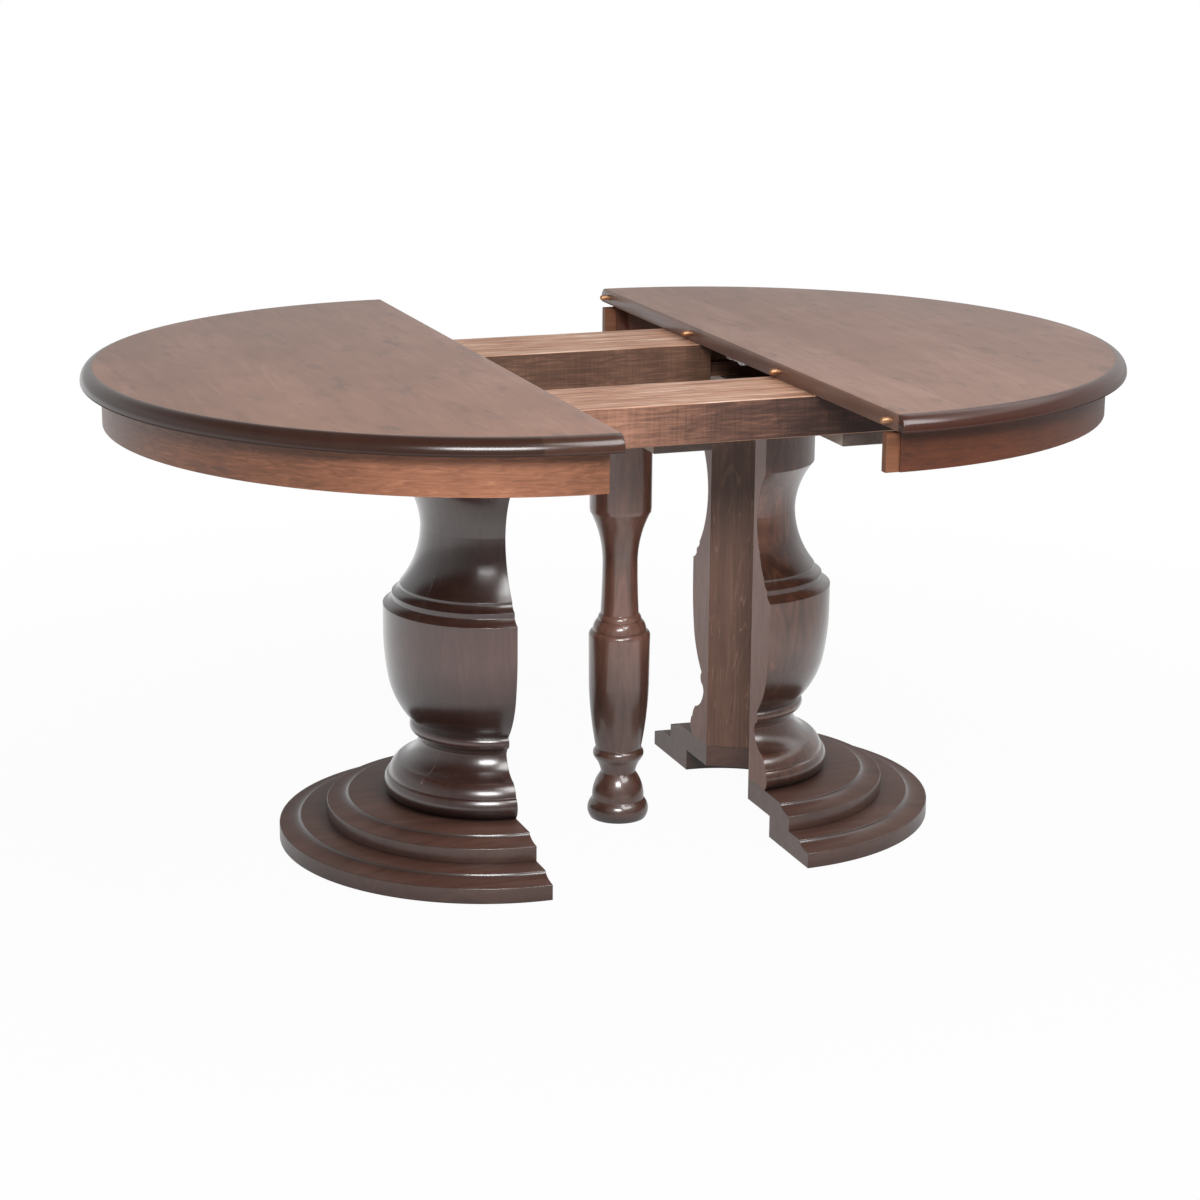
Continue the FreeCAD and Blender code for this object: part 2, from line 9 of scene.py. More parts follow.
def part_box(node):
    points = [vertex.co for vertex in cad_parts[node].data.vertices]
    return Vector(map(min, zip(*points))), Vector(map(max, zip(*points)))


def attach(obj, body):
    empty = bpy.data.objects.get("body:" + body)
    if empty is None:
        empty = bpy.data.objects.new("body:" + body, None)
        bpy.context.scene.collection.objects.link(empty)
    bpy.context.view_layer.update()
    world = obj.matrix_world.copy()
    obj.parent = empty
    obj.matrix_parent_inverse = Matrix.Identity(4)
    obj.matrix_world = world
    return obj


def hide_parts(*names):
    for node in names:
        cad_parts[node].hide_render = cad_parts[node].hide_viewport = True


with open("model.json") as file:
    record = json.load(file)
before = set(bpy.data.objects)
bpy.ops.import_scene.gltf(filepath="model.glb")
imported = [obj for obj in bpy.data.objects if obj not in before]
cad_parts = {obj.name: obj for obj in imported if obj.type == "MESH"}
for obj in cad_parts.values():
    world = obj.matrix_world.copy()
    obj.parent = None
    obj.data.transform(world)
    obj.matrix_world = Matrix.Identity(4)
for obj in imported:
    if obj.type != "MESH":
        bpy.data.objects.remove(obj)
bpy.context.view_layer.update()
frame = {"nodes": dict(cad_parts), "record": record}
nodes = frame["nodes"]
scene = bpy.context.scene
scene.view_settings.view_transform = "Standard"
bpy.ops.object.select_all(action="DESELECT")

# Places taken from the frame, in metres
split_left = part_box("left_top")[1][0]
split_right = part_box("right_top")[0][0]
top_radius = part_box("left_top")[1][1]
top_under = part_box("left_top")[0][2]
table_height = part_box("left_top")[1][2]
apron_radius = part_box("left_apron")[1][1]
pin_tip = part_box("leaf_pins")[0]
pin_radius = (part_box("leaf_pins")[1][2] - pin_tip[2]) / 2
halves = {"left": split_left, "right": split_right}
sawn_way = {"left": 1, "right": -1}
UP = (0, 0, 1)
DOWN = (0, 0, -1)

# Sizes of the modelled pieces, in millimetres; rings are steps onward along a lathe, each with its new radius
RIM_ROUND = 20.0
UNDER_ROUND = 4.0
TOP_ARRIS = 0.8
COVE_IN = 33.0
COVE_RISE = 11.0
PLATE_EASE = 1.2
UPPER_HOLLOW = 78.0
LOWER_HOLLOW = 177.0
PIN_INNER = 180.0
PIN_RINGS = [(0, 4.75), (2.6, 4.75), (0.5, 4.1), (1.8, 4.1), (0.6, 4.7), (7.6, 4.7), (1.4, 4.4), (1.2, 3.7),
             (0.8, 2.7), (0.3, 1.7), (0.2, 0.6)]
SOCKET_PLAY = 0.4
SOCKET_DEEP = 19.0
LOCK_PLATE = 3.0
PLATE_CORNER = 4.0
PLATE_ARRIS = 0.5
LOCK_PIVOT = 17.0
LOCK_SCREW_EDGE = 7.0
RIVET_ROUND = 4.0
RIVET_ROOT = 1.0
RIVET_HEAD = 2.5
RIVET_HEAD_RINGS = [(0, 6.6), (0.3, 7.0), (1.0, 7.0), (0.6, 6.3), (0.4, 5.0), (0.2, 3.0)]
STUD_ROUND = 3.0
STUD_INSET = 8.0
STUD_NOSE = 0.8
STUD_NOSE_RINGS = [(0.5, 2.7), (0.3, 2.1)]
LEVER_HUB = 9.0
LEVER_HANDLE = 20.0
HOOK_INNER = 29.0
HOOK_WIDE = 5.0
SHORT_SCREW = 14.0
HEAD_ROUND = 4.8
HEAD_TALL = 3.0
HEAD_EASE = 0.3
SHANK = 2.4
POINT_LONG = 5.0
POINT_TIP = 0.3
RECESS_LONG = 4.8
RECESS_WIDE = 1.0
RECESS_DEEP = 1.5
SINK_MOUTH = 1.0
SINK_RINGS = [(0, 5.0), (SINK_MOUTH, 5.0), (HEAD_TALL + 0.5, 2.6)]
PIECE_APART = 30.0
BORE_PAST = 1.0
BOLT_PLAY = 0.2
BOLT_CHAMFER = 1.0
WASHER_EDGE = 0.4
NUT_CHAMFER_TALL = 0.9
NUT_CHAMFER_IN = 1.6
# A glide's dome: steps onward, each with how far in from the full radius
GLIDE_DOME = [(0, 2.4), (0.3, 1.2), (0.5, 0.4), (0.7, 0)]
GLIDE_DOME_TALL = 1.5

# Angles in degrees
LEVER_REST = 95.0
HOOK_SWEEP = 63.0
SCREW_TURN = 37.0
SMOOTH_UNDER = 35.0
SHARP_OVER = 50.0

# How finely curves are divided, and how near is the same place, in metres
RIM_STEPS = 320
RIM_BENDS = 10
UNDER_BENDS = 6
COVE_STEPS = 12
HOLLOW_STEPS = 96
HOLLOW_SIDES = 6
PIN_STEPS = 32
LEVER_STEPS = 32
SCREW_STEPS = 24
CORNER_BENDS = 6
HOOK_BENDS = 12
ARRIS_BENDS = 2
EASE_BENDS = 3
NEAR = 0.00002
SAME_WAY = 0.9
ON_EDGE = 0.999

# Sizes of the finish, in millimetres; fibres and saw marks are drawn coarser than real ones so that they show
BOARD_WIDE = 112.0
SMUDGE = 62.0
RIM_GLAZE_IN = 1.0
RIM_GLAZE_OUT = 4.0
GLAZE_FADE = 3.0
# Where along the apron's curve its painted sheen is brightest, and how far it reaches
APRON_PAINTED_SHEEN = 170.0
PAINTED_SHEEN_REACH = 150.0
FIBRE = 2.5
SAW_MARK = 3.5
FLAME = 60.0
FLAME_GAP = 35.0
# Span along a runner over which painted light at one end turns to painted shade at the other
PAINTED_FADE_START = -100.0
PAINTED_FADE_END = 260.0
PEDESTAL_ARRIS = 1.5
BASE_ARRIS = 1.5
INNER_START = -30.0
INNER_END = -40.0
PORE_DEPTH = 0.3
METAL_GRIT = 1.5
NYLON_CLOUD = 6.0

# How far each of these shows, from 0 to 1, and how many rings a flame has
BOARD_STEP = 0.3
RIM_GLAZE = 0.94
SAWN_STAIN = 0.4
UNDER_DULL = 0.6
# How slowly the apron's painted sheen fades on one side of its brightest place
PAINTED_SHEEN_TAIL = 0.4
MARK_DEPTH = 0.36
FLAME_RINGS = 16.0

# How marks in the wood are drawn out: their scale along the grain, or across it for saw marks
FIBRE_STRETCH = 0.025
FLAME_STRETCH = 0.13
MARK_STRETCH = 0.06
SMUDGE_STRETCH = (1.7, 0.7, 1)

# Added to a seed for the second pattern in a piece
WALL_SEED = 1.3
SAWN_SEED = 0.7

# From which slant to which a face counts as turned that way
SAWN_FACE = (0.97, 0.99)
SAWN_PLATE = (0.985, 0.995)
FLAT_SIDE = (0.8, 0.95)
RIM_UNDER = (0.0, 0.3)

# Painted shade by height: heights in millimetres, and the share of the colour kept there
PEDESTAL_PAINTED_SHADE = [(0, 0.95), (74, 0.95), (90, 0.6), (142, 0.55), (160, 0.8), (172, 0.9), (190, 0.65),
                  (205, 0.4), (240, 0.45), (310, 1), (372, 1), (385, 0.7), (418, 0.45), (460, 0.65), (520, 1),
                  (654, 1)]
LEG_PAINTED_SHADE = [(0, 0.35), (70, 0.45), (100, 0.4), (150, 0.35), (200, 0.31), (280, 0.66), (340, 1), (400, 1),
             (440, 0.6), (500, 0.9), (654, 1)]


# Helpers

def mm(size):
    """Millimetres in metres."""
    return size / 1000.0


def to_mm(size):
    """Metres in millimetres."""
    return size * 1000


def per_mm(size):
    """Texture scale that gives features of a real size in millimetres."""
    return 1000.0 / size


def linear(code):
    """An sRGB hex colour as linear RGBA."""
    shades = [int(code[i:i + 2], 16) / 255 for i in (1, 3, 5)]
    return [s / 12.92 if s <= 0.04045 else ((s + 0.055) / 1.055) ** 2.4 for s in shades] + [1.0]


def add(tree, kind, inputs=None, **settings):
    """Add a shader node; an input takes a value, a socket to link, or a node whose first output is linked."""
    node = tree.nodes.new("ShaderNode" + kind)
    for name, value in settings.items():
        setattr(node, name, value)
    for socket, value in (inputs or {}).items():
        if isinstance(value, bpy.types.Node):
            value = value.outputs[0]
        if isinstance(value, bpy.types.NodeSocket):
            tree.links.new(value, node.inputs[socket])
        else:
            node.inputs[socket].default_value = value
    return node


def new_material(name):
    """A material with an empty node tree."""
    material = bpy.data.materials.new(name)
    material.use_nodes = True
    tree = material.node_tree
    tree.nodes.clear()
    return material, tree


def coordinate(tree, kind="Object"):
    """Texture coordinates: the piece's own in metres, unless another kind is named."""
    return add(tree, "TexCoord").outputs[kind]


# Wood: grain, stain and lacquer

def from_split(tree, split):
    """Coordinates measured from the middle of a half's split."""
    return add(tree, "Mapping", {"Vector": coordinate(tree), "Location": (-split, 0, 0)})


def in_plan(tree, spot):
    """The same place as seen from above, with no height."""
    return add(tree, "VectorMath", {0: spot, 1: (1, 1, 0)}, operation="MULTIPLY")


def grain_along(tree, axis):
    """Coordinates of a straight board, turned so that X runs along its grain."""
    turns = {"X": (0, 0, 0), "Y": (0, 0, -math.pi / 2), "Z": (0, math.pi / 2, 0)}
    return add(tree, "Mapping", {"Vector": coordinate(tree), "Rotation": turns[axis]})


def grain_round(tree, split, radius):
    """Coordinates of wood bent round a half table: X runs round the curve from the front, Y outwards."""
    spot = from_split(tree, split)
    axes = add(tree, "SeparateXYZ", {0: spot})
    ahead = add(tree, "Math", {0: axes.outputs["Y"], 1: -1.0}, operation="MULTIPLY")
    angle = add(tree, "Math", {0: axes.outputs["X"], 1: ahead}, operation="ARCTAN2")
    run = add(tree, "Math", {0: angle, 1: radius}, operation="MULTIPLY")
    reach = add(tree, "VectorMath", {0: in_plan(tree, spot)}, operation="LENGTH")
    return add(tree, "CombineXYZ", {"X": run, "Y": reach.outputs["Value"], "Z": axes.outputs["Z"]})


def maple_tone(tree, grain, seed, figure_mm, stretch, curl, fibre, blotch, blotch_mm, contrast):
    """How light the stain comes out, 0 to 1, from figure, fibres and uneven take-up; and the fibres alone."""
    moved = add(tree, "Mapping", {"Vector": grain, "Location": (seed, 2 * seed, 3 * seed)})
    figure_at = add(tree, "Mapping", {"Vector": moved, "Scale": (stretch, 1, 1)})
    fibre_at = add(tree, "Mapping", {"Vector": moved, "Scale": (FIBRE_STRETCH, 1, 1)})
    figure = add(tree, "TexNoise", {"Vector": figure_at, "Scale": per_mm(figure_mm), "Detail": 5.0,
                                    "Roughness": 0.6, "Distortion": curl})
    fibres = add(tree, "TexNoise", {"Vector": fibre_at, "Scale": per_mm(FIBRE), "Detail": 3.0,
                                    "Roughness": 0.65})
    uptake = add(tree, "TexNoise", {"Vector": moved, "Scale": per_mm(blotch_mm), "Detail": 3.0,
                                    "Roughness": 0.55})
    streaky = add(tree, "Math", {0: fibres, 1: fibre, 2: figure}, operation="MULTIPLY_ADD")
    blotchy = add(tree, "Math", {0: uptake, 1: blotch, 2: streaky}, operation="MULTIPLY_ADD")
    middle = 0.5 * (1 + fibre + blotch)
    tone = add(tree, "MapRange", {"Value": blotchy, "From Min": middle - contrast,
                                  "From Max": middle + contrast})
    return tone, fibres


def ramp(tree, level, stops):
    """Colours over a level from 0 to 1; each stop is a level and its colour."""
    node = add(tree, "ValToRGB", {"Fac": level})
    elements = node.color_ramp.elements
    elements[0].color = stops[0][1]
    elements[1].color = stops[-1][1]
    for place, colour in stops[1:-1]:
        elements.new(place).color = colour
    return node


def stain(tree, tone, shades):
    """Colours from deep to light, spread over the tone."""
    last = len(shades) - 1
    return ramp(tree, tone, [(count / last, linear(shade)) for count, shade in enumerate(shades)])


def blend(tree, share, below, above, mode="MIX"):
    """Lay one colour over another by a share from 0 to 1."""
    mixed = add(tree, "Mix", {0: share, 6: below, 7: above}, data_type="RGBA", blend_type=mode)
    return mixed.outputs[2]


def facing(tree, axis, slants, way=0):
    """1 where the surface faces along an axis, one way or (way 0) either way, and 0 where it doesn't."""
    normal = add(tree, "SeparateXYZ", {0: coordinate(tree, "Normal")})
    along = add(tree, "Math", {0: normal.outputs[axis], 1: way}, operation="MULTIPLY" if way else "ABSOLUTE")
    return add(tree, "MapRange", {"Value": along, "From Min": slants[0], "From Max": slants[1]})


def painted_height_shade(tree, colour, bands):
    """Painted shade: the colour darkened at some heights, towards the beads."""
    axes = add(tree, "SeparateXYZ", {0: coordinate(tree)})
    highest = bands[-1][0]
    level = add(tree, "MapRange", {"Value": axes.outputs["Z"], "From Max": mm(highest)})
    greys = [(height / highest, [share] * 3 + [1.0]) for height, share in bands]
    return blend(tree, 1.0, colour, ramp(tree, level, greys), "MULTIPLY")


def painted_hollow_shade(tree, colour, depth_mm, darkest, start, end):
    """Painted shade in the hollows: the colour darkened where other surfaces are near."""
    hollow = add(tree, "AmbientOcclusion", {"Distance": mm(depth_mm)}, samples=6)
    open_face = add(tree, "MapRange", {"Value": hollow.outputs["AO"], "From Min": start,
                                       "From Max": end, "To Min": darkest, "To Max": 1.0})
    return blend(tree, 1.0, colour, open_face, "MULTIPLY")


def lacquer(tree, colour, fibres, rough, coat, coat_rough, arris_mm=0.0, coat_ior=1.5, glint=0.5):
    """Finish the wood with lacquer; arrises that the mesh keeps sharp are softened."""
    pores = add(tree, "Bump", {"Strength": 0.1, "Distance": mm(PORE_DEPTH), "Height": fibres})
    shader = add(tree, "BsdfPrincipled", {
        "Base Color": colour, "Roughness": rough, "IOR": 1.5, "Specular IOR Level": glint, "Normal": pores,
        "Coat Weight": coat, "Coat Roughness": coat_rough, "Coat IOR": coat_ior})
    if arris_mm:
        arris = add(tree, "Bevel", {"Radius": mm(arris_mm)}, samples=4)
        tree.links.new(arris.outputs[0], pores.inputs["Normal"])
        tree.links.new(arris.outputs[0], shader.inputs["Coat Normal"])
    add(tree, "OutputMaterial", {"Surface": shader})


# Finishes of the wooden pieces, all of maple

def top_finish(half, shades, rim_shade, edge_glaze, seed):
    """Satin half top: boards along the split, grey smudges, and a darker rim that is glossier from above."""
    material, tree = new_material(half + "_top_satin_stained_maple")
    tone, fibres = maple_tone(tree, grain_along(tree, "Y"), seed, figure_mm=26.0, stretch=0.16, curl=1.6,
                              fibre=0.12, blotch=0.7, blotch_mm=150.0, contrast=0.66)
    spot = from_split(tree, halves[half])
    axes = add(tree, "SeparateXYZ", {0: spot})
    count = add(tree, "Math", {0: axes.outputs["X"], 1: per_mm(BOARD_WIDE)}, operation="MULTIPLY")
    board = add(tree, "Math", {0: count}, operation="FLOOR")
    board_seed = add(tree, "Math", {0: board, 1: seed}, operation="ADD")
    pick = add(tree, "TexWhiteNoise", {"W": board_seed}, noise_dimensions="1D")
    step = add(tree, "Math", {0: pick, 1: BOARD_STEP, 2: -BOARD_STEP / 2}, operation="MULTIPLY_ADD")
    boards = add(tree, "Math", {0: tone, 1: step}, operation="ADD")
    colour = stain(tree, boards, shades)
    smear = add(tree, "Mapping", {"Vector": spot, "Location": (seed, seed, 0), "Scale": SMUDGE_STRETCH})
    smudge = add(tree, "TexNoise", {"Vector": smear, "Scale": per_mm(SMUDGE), "Detail": 6.0,
                                    "Roughness": 0.66})
    smudged = add(tree, "MapRange", {"Value": smudge, "From Min": 0.56, "From Max": 0.72, "To Max": 0.6})
    colour = blend(tree, smudged, colour, linear("#55443c"))
    reach = add(tree, "VectorMath", {0: in_plan(tree, spot)}, operation="LENGTH")
    rim_start = top_radius - mm(RIM_ROUND)
    rim = add(tree, "MapRange", {"Value": reach.outputs["Value"], "From Min": rim_start - mm(RIM_GLAZE_IN),
                                 "From Max": rim_start + mm(RIM_GLAZE_OUT)})
    inward = add(tree, "Math", {0: axes.outputs["X"]}, operation="ABSOLUTE")
    glazing = add(tree, "MapRange", {"Value": inward, "From Min": mm(BOARD_WIDE - GLAZE_FADE),
                                     "From Max": mm(BOARD_WIDE), "To Min": edge_glaze, "To Max": RIM_GLAZE})
    glaze = add(tree, "Math", {0: rim, 1: glazing}, operation="MULTIPLY")
    colour = blend(tree, glaze, colour, linear(rim_shade))
    sawn = facing(tree, "X", SAWN_FACE, sawn_way[half])
    sawn = add(tree, "Math", {0: sawn, 1: SAWN_STAIN}, operation="MULTIPLY")
    colour = blend(tree, sawn, colour, linear("#3a241c"))
    under = facing(tree, "Z", RIM_UNDER, -1)
    polish = add(tree, "MapRange", {"Value": rim, "To Min": 0.42, "To Max": 0.22})
    rough = add(tree, "Math", {0: under, 1: UNDER_DULL, 2: polish}, operation="MULTIPLY_ADD")
    coat = add(tree, "MapRange", {"Value": under, "To Min": 0.14, "To Max": 0.0})
    lacquer(tree, colour, fibres, rough, coat, coat_rough=0.14)
    return material


def apron_finish(half, shades, seed):
    """Satin apron, its grain following the curve, with a painted sheen that lightens it near the front of its
    curve.
    """
    material, tree = new_material(half + "_apron_satin_stained_maple")
    grain = grain_round(tree, halves[half], apron_radius)
    tone, fibres = maple_tone(tree, grain, seed, figure_mm=7.0, stretch=0.14, curl=1.8, fibre=0.35,
                              blotch=0.45, blotch_mm=70.0, contrast=0.5)
    run = add(tree, "SeparateXYZ", {0: grain})
    # Painted sheen: the tone lifted along the curve where the light catches the fibres
    away = add(tree, "Math", {0: run.outputs["X"], 1: -mm(APRON_PAINTED_SHEEN)}, operation="SUBTRACT")
    behind = add(tree, "Math", {0: away, 1: -PAINTED_SHEEN_TAIL}, operation="MULTIPLY")
    away = add(tree, "Math", {0: away, 1: behind}, operation="MAXIMUM")
    painted_sheen = add(tree, "MapRange", {"Value": away, "From Max": mm(PAINTED_SHEEN_REACH), "To Min": 0.22, "To Max": -0.2})
    sheen_lifted_tone = add(tree, "Math", {0: tone, 1: painted_sheen}, operation="ADD")
    colour = stain(tree, sheen_lifted_tone, shades)
    lacquer(tree, colour, fibres, rough=0.5, coat=0.4, coat_rough=0.3, arris_mm=1.0)
    return material


def tongue_finish(shades, seed):
    """Thin-stained tongue, fresh from the saw: even, light and dull."""
    material, tree = new_material("tongue_thin_stained_maple")
    tone, fibres = maple_tone(tree, grain_along(tree, "X"), seed, figure_mm=10.0, stretch=0.06, curl=0.8,
                              fibre=0.4, blotch=0.4, blotch_mm=60.0, contrast=0.42)
    lacquer(tree, stain(tree, tone, shades), fibres, rough=0.5, coat=0.1, coat_rough=0.35, arris_mm=0.8)
    return material


def flame_lines(tree, grain, seed):
    """Thin pale lines in nested points, as growth rings show on a flat-sawn face."""
    moved = add(tree, "Mapping", {"Vector": grain, "Location": (seed, 2 * seed, 3 * seed)})
    drawn = add(tree, "Mapping", {"Vector": moved, "Scale": (FLAME_STRETCH, 1, 1)})
    swell = add(tree, "TexNoise", {"Vector": drawn, "Scale": per_mm(FLAME), "Detail": 4.0,
                                   "Roughness": 0.55, "Distortion": 1.4})
    rings = add(tree, "Math", {0: swell, 1: FLAME_RINGS}, operation="MULTIPLY")
    ring = add(tree, "Math", {0: rings, 1: 1.0}, operation="PINGPONG")
    fine = add(tree, "MapRange", {"Value": ring, "From Min": 0.78, "From Max": 1.0, "To Max": 0.75})
    broken = add(tree, "TexNoise", {"Vector": moved, "Scale": per_mm(FLAME_GAP), "Detail": 3.0})
    shown = add(tree, "MapRange", {"Value": broken, "From Min": 0.4, "From Max": 0.65})
    return add(tree, "Math", {0: fine, 1: shown}, operation="MULTIPLY")


def pedestal_finish(half, shades, sawn_shades, seed):
    """Semi-gloss dark stave with painted shade in its hollows and at some heights; sawn and inner faces have
    thin stain and little coat.
    """
    material, tree = new_material(half + "_pedestal_dark_stained_maple")
    grain = grain_along(tree, "Z")
    tone, fibres = maple_tone(tree, grain, seed, figure_mm=30.0, stretch=0.2, curl=2.4, fibre=0.2, blotch=0.6,
                              blotch_mm=90.0, contrast=0.42)
    # Painted shade: darker in the hollows and, by height, under the top and towards the beads
    colour = painted_hollow_shade(tree, stain(tree, tone, shades), depth_mm=55.0, darkest=0.1, start=0.35, end=0.95)
    colour = painted_height_shade(tree, colour, PEDESTAL_PAINTED_SHADE)
    flat = in_plan(tree, from_split(tree, halves[half]))
    outward = add(tree, "VectorMath", {0: flat, 1: coordinate(tree, "Normal")}, operation="DOT_PRODUCT")
    inner = add(tree, "MapRange", {"Value": outward.outputs["Value"], "From Min": mm(INNER_START),
                                   "From Max": mm(INNER_END)})
    wall_tone, _ = maple_tone(tree, grain, seed + WALL_SEED, figure_mm=14.0, stretch=0.04, curl=0.6,
                              fibre=0.7, blotch=0.5, blotch_mm=80.0, contrast=0.46)
    wall = stain(tree, wall_tone, ["#503930", "#765546", "#936e5b"])
    wall = blend(tree, flame_lines(tree, grain, seed), wall, linear("#a5806d"))
    colour = blend(tree, inner, colour, wall)
    sawn = facing(tree, "X", SAWN_FACE, sawn_way[half])
    colour = blend(tree, sawn, colour, stain(tree, tone, sawn_shades))
    bare = add(tree, "Math", {0: sawn, 1: inner}, operation="MAXIMUM")
    coat = add(tree, "MapRange", {"Value": bare, "To Min": 1.0, "To Max": 0.2})
    rough = add(tree, "MapRange", {"Value": bare, "To Min": 0.3, "To Max": 0.5})
    lacquer(tree, colour, fibres, rough, coat, coat_rough=0.22, arris_mm=PEDESTAL_ARRIS, coat_ior=1.65)
    return material


def base_finish(half, shades, sawn_shades, seed):
    """Half-round plate, glossy on its moulded edge, dull on its flats, paler where it is sawn; painted shade
    darkens its hollows and its cove.
    """
    material, tree = new_material(half + "_base_dark_stained_maple")
    tone, fibres = maple_tone(tree, grain_along(tree, "X"), seed, figure_mm=30.0, stretch=0.1, curl=1.2,
                              fibre=0.25, blotch=0.5, blotch_mm=120.0, contrast=0.4)
    # Painted shade in the hollows
    colour = painted_hollow_shade(tree, stain(tree, tone, shades), depth_mm=55.0, darkest=0.2, start=0.3, end=0.95)
    sawn = facing(tree, "X", SAWN_PLATE, sawn_way[half])
    colour = blend(tree, sawn, colour, stain(tree, tone, sawn_shades))
    worn = add(tree, "Bevel", {"Radius": mm(BASE_ARRIS)}, samples=6)
    normal = add(tree, "SeparateXYZ", {0: worn})
    slope = add(tree, "Math", {0: normal.outputs["Z"]}, operation="ABSOLUTE")
    # Greys from the upright band over the cove to the flat: painted shade darkening the cove, and the coat
    painted_cove_shade = stain(tree, slope, ["#ffffff", "#b0b0b0", "#a8a8a8", "#b0b0b0", "#f0f0f0"])
    colour = blend(tree, 1.0, colour, painted_cove_shade, "MULTIPLY")
    coat = stain(tree, slope, ["#c0c0c0", "#ffffff", "#ffffff", "#ffffff", "#383838"])
    lacquer(tree, colour, fibres, rough=0.5, coat=coat, coat_rough=0.2, arris_mm=BASE_ARRIS, coat_ior=1.7,
            glint=0.3)
    return material


def leg_finish(shades, seed):
    """Semi-gloss turned leg, lighter than the pedestal, with painted shade in its hollows, between its beads
    and towards its foot.
    """
    material, tree = new_material("leg_stained_maple")
    tone, fibres = maple_tone(tree, grain_along(tree, "Z"), seed, figure_mm=22.0, stretch=0.12, curl=1.2,
                              fibre=0.25, blotch=0.4, blotch_mm=90.0, contrast=0.4)
    # Painted shade: darker in the hollows and, by height, low down and between the beads
    colour = painted_hollow_shade(tree, stain(tree, tone, shades), depth_mm=30.0, darkest=0.15, start=0.35, end=0.9)
    colour = painted_height_shade(tree, colour, LEG_PAINTED_SHADE)
    lacquer(tree, colour, fibres, rough=0.4, coat=1.0, coat_rough=0.17, arris_mm=1.2, coat_ior=1.65)
    return material


def slide_finish(name, sawn_shades, left_painted_light, right_painted_shade, seed):
    """Runner with a thin stain: streaky on planed faces, deep in rough-sawn sides, which keep saw marks; the
    sides can carry painted light at one end and painted shade at the other.
    """
    material, tree = new_material(name)
    grain = grain_along(tree, "X")
    tone, fibres = maple_tone(tree, grain, seed, figure_mm=9.0, stretch=0.05, curl=1.2, fibre=0.9, blotch=0.4,
                              blotch_mm=110.0, contrast=0.27)
    planed = stain(tree, tone, ["#7d5039", "#ad7d63", "#c79b81", "#e6cdbb"])
    rough_tone, _ = maple_tone(tree, grain, seed + SAWN_SEED, figure_mm=10.0, stretch=0.12, curl=1.8,
                               fibre=0.6, blotch=0.5, blotch_mm=90.0, contrast=0.42)
    across = add(tree, "Mapping", {"Vector": grain, "Scale": (1, MARK_STRETCH, MARK_STRETCH)})
    marks = add(tree, "TexNoise", {"Vector": across, "Scale": per_mm(SAW_MARK), "Detail": 2.0})
    marked = add(tree, "Math", {0: marks, 1: MARK_DEPTH, 2: -MARK_DEPTH / 2}, operation="MULTIPLY_ADD")
    rough_tone = add(tree, "Math", {0: rough_tone, 1: marked}, operation="ADD")
    run = add(tree, "SeparateXYZ", {0: grain})
    # Painted light towards the left end of the sawn sides, painted shade towards the right, under the right
    # top
    painted_fade = add(tree, "MapRange", {"Value": run.outputs["X"], "From Min": mm(PAINTED_FADE_START),
                                  "From Max": mm(PAINTED_FADE_END), "To Min": left_painted_light, "To Max": right_painted_shade})
    rough_tone = add(tree, "Math", {0: rough_tone, 1: painted_fade}, operation="ADD")
    sides = facing(tree, "Y", FLAT_SIDE)
    colour = blend(tree, sides, planed, stain(tree, rough_tone, sawn_shades))
    lacquer(tree, colour, fibres, rough=0.55, coat=0.1, coat_rough=0.35, arris_mm=0.8)
    return material


def board_finish(seed):
    """Dull dark board under the slides, with painted light making its end faces pale."""
    material, tree = new_material("board_dull_stained_maple")
    tone, fibres = maple_tone(tree, grain_along(tree, "Y"), seed, figure_mm=20.0, stretch=0.08, curl=1.0,
                              fibre=0.4, blotch=0.5, blotch_mm=110.0, contrast=0.4)
    colour = stain(tree, tone, ["#5b4d46", "#73655d", "#887a72"])
    # Painted light: the end faces are made pale so that they show bright though they stand in shade
    ends = facing(tree, "X", FLAT_SIDE)
    colour = blend(tree, ends, colour, stain(tree, tone, ["#b3a59b", "#c8bbb1", "#d6cbc2"]))
    lacquer(tree, colour, fibres, rough=0.55, coat=0.1, coat_rough=0.4, arris_mm=1.0)
    return material


# Finishes of the fittings

def cloudy(tree, size_mm, deep, light):
    """Clouds of a real size, and the colours that they make."""
    cloud = add(tree, "TexNoise", {"Vector": coordinate(tree), "Scale": per_mm(size_mm), "Detail": 3.0})
    return cloud, stain(tree, cloud, [deep, light])


def metal(name, deep, light, rough):
    """Bare or plated metal, a little uneven in colour and polish as small fittings are."""
    material, tree = new_material(name)
    grit, colour = cloudy(tree, METAL_GRIT, deep, light)
    polish = add(tree, "MapRange", {"Value": grit, "To Min": rough - 0.06, "To Max": rough + 0.08})
    shader = add(tree, "BsdfPrincipled", {"Base Color": colour, "Metallic": 1.0, "Roughness": polish})
    add(tree, "OutputMaterial", {"Surface": shader})
    return material


def nylon(name, deep, light):
    """Moulded nylon: nearly black, cloudy and dull."""
    material, tree = new_material(name)
    _, colour = cloudy(tree, NYLON_CLOUD, deep, light)
    shader = add(tree, "BsdfPrincipled", {"Base Color": colour, "Roughness": 0.55})
    add(tree, "OutputMaterial", {"Surface": shader})
    return material


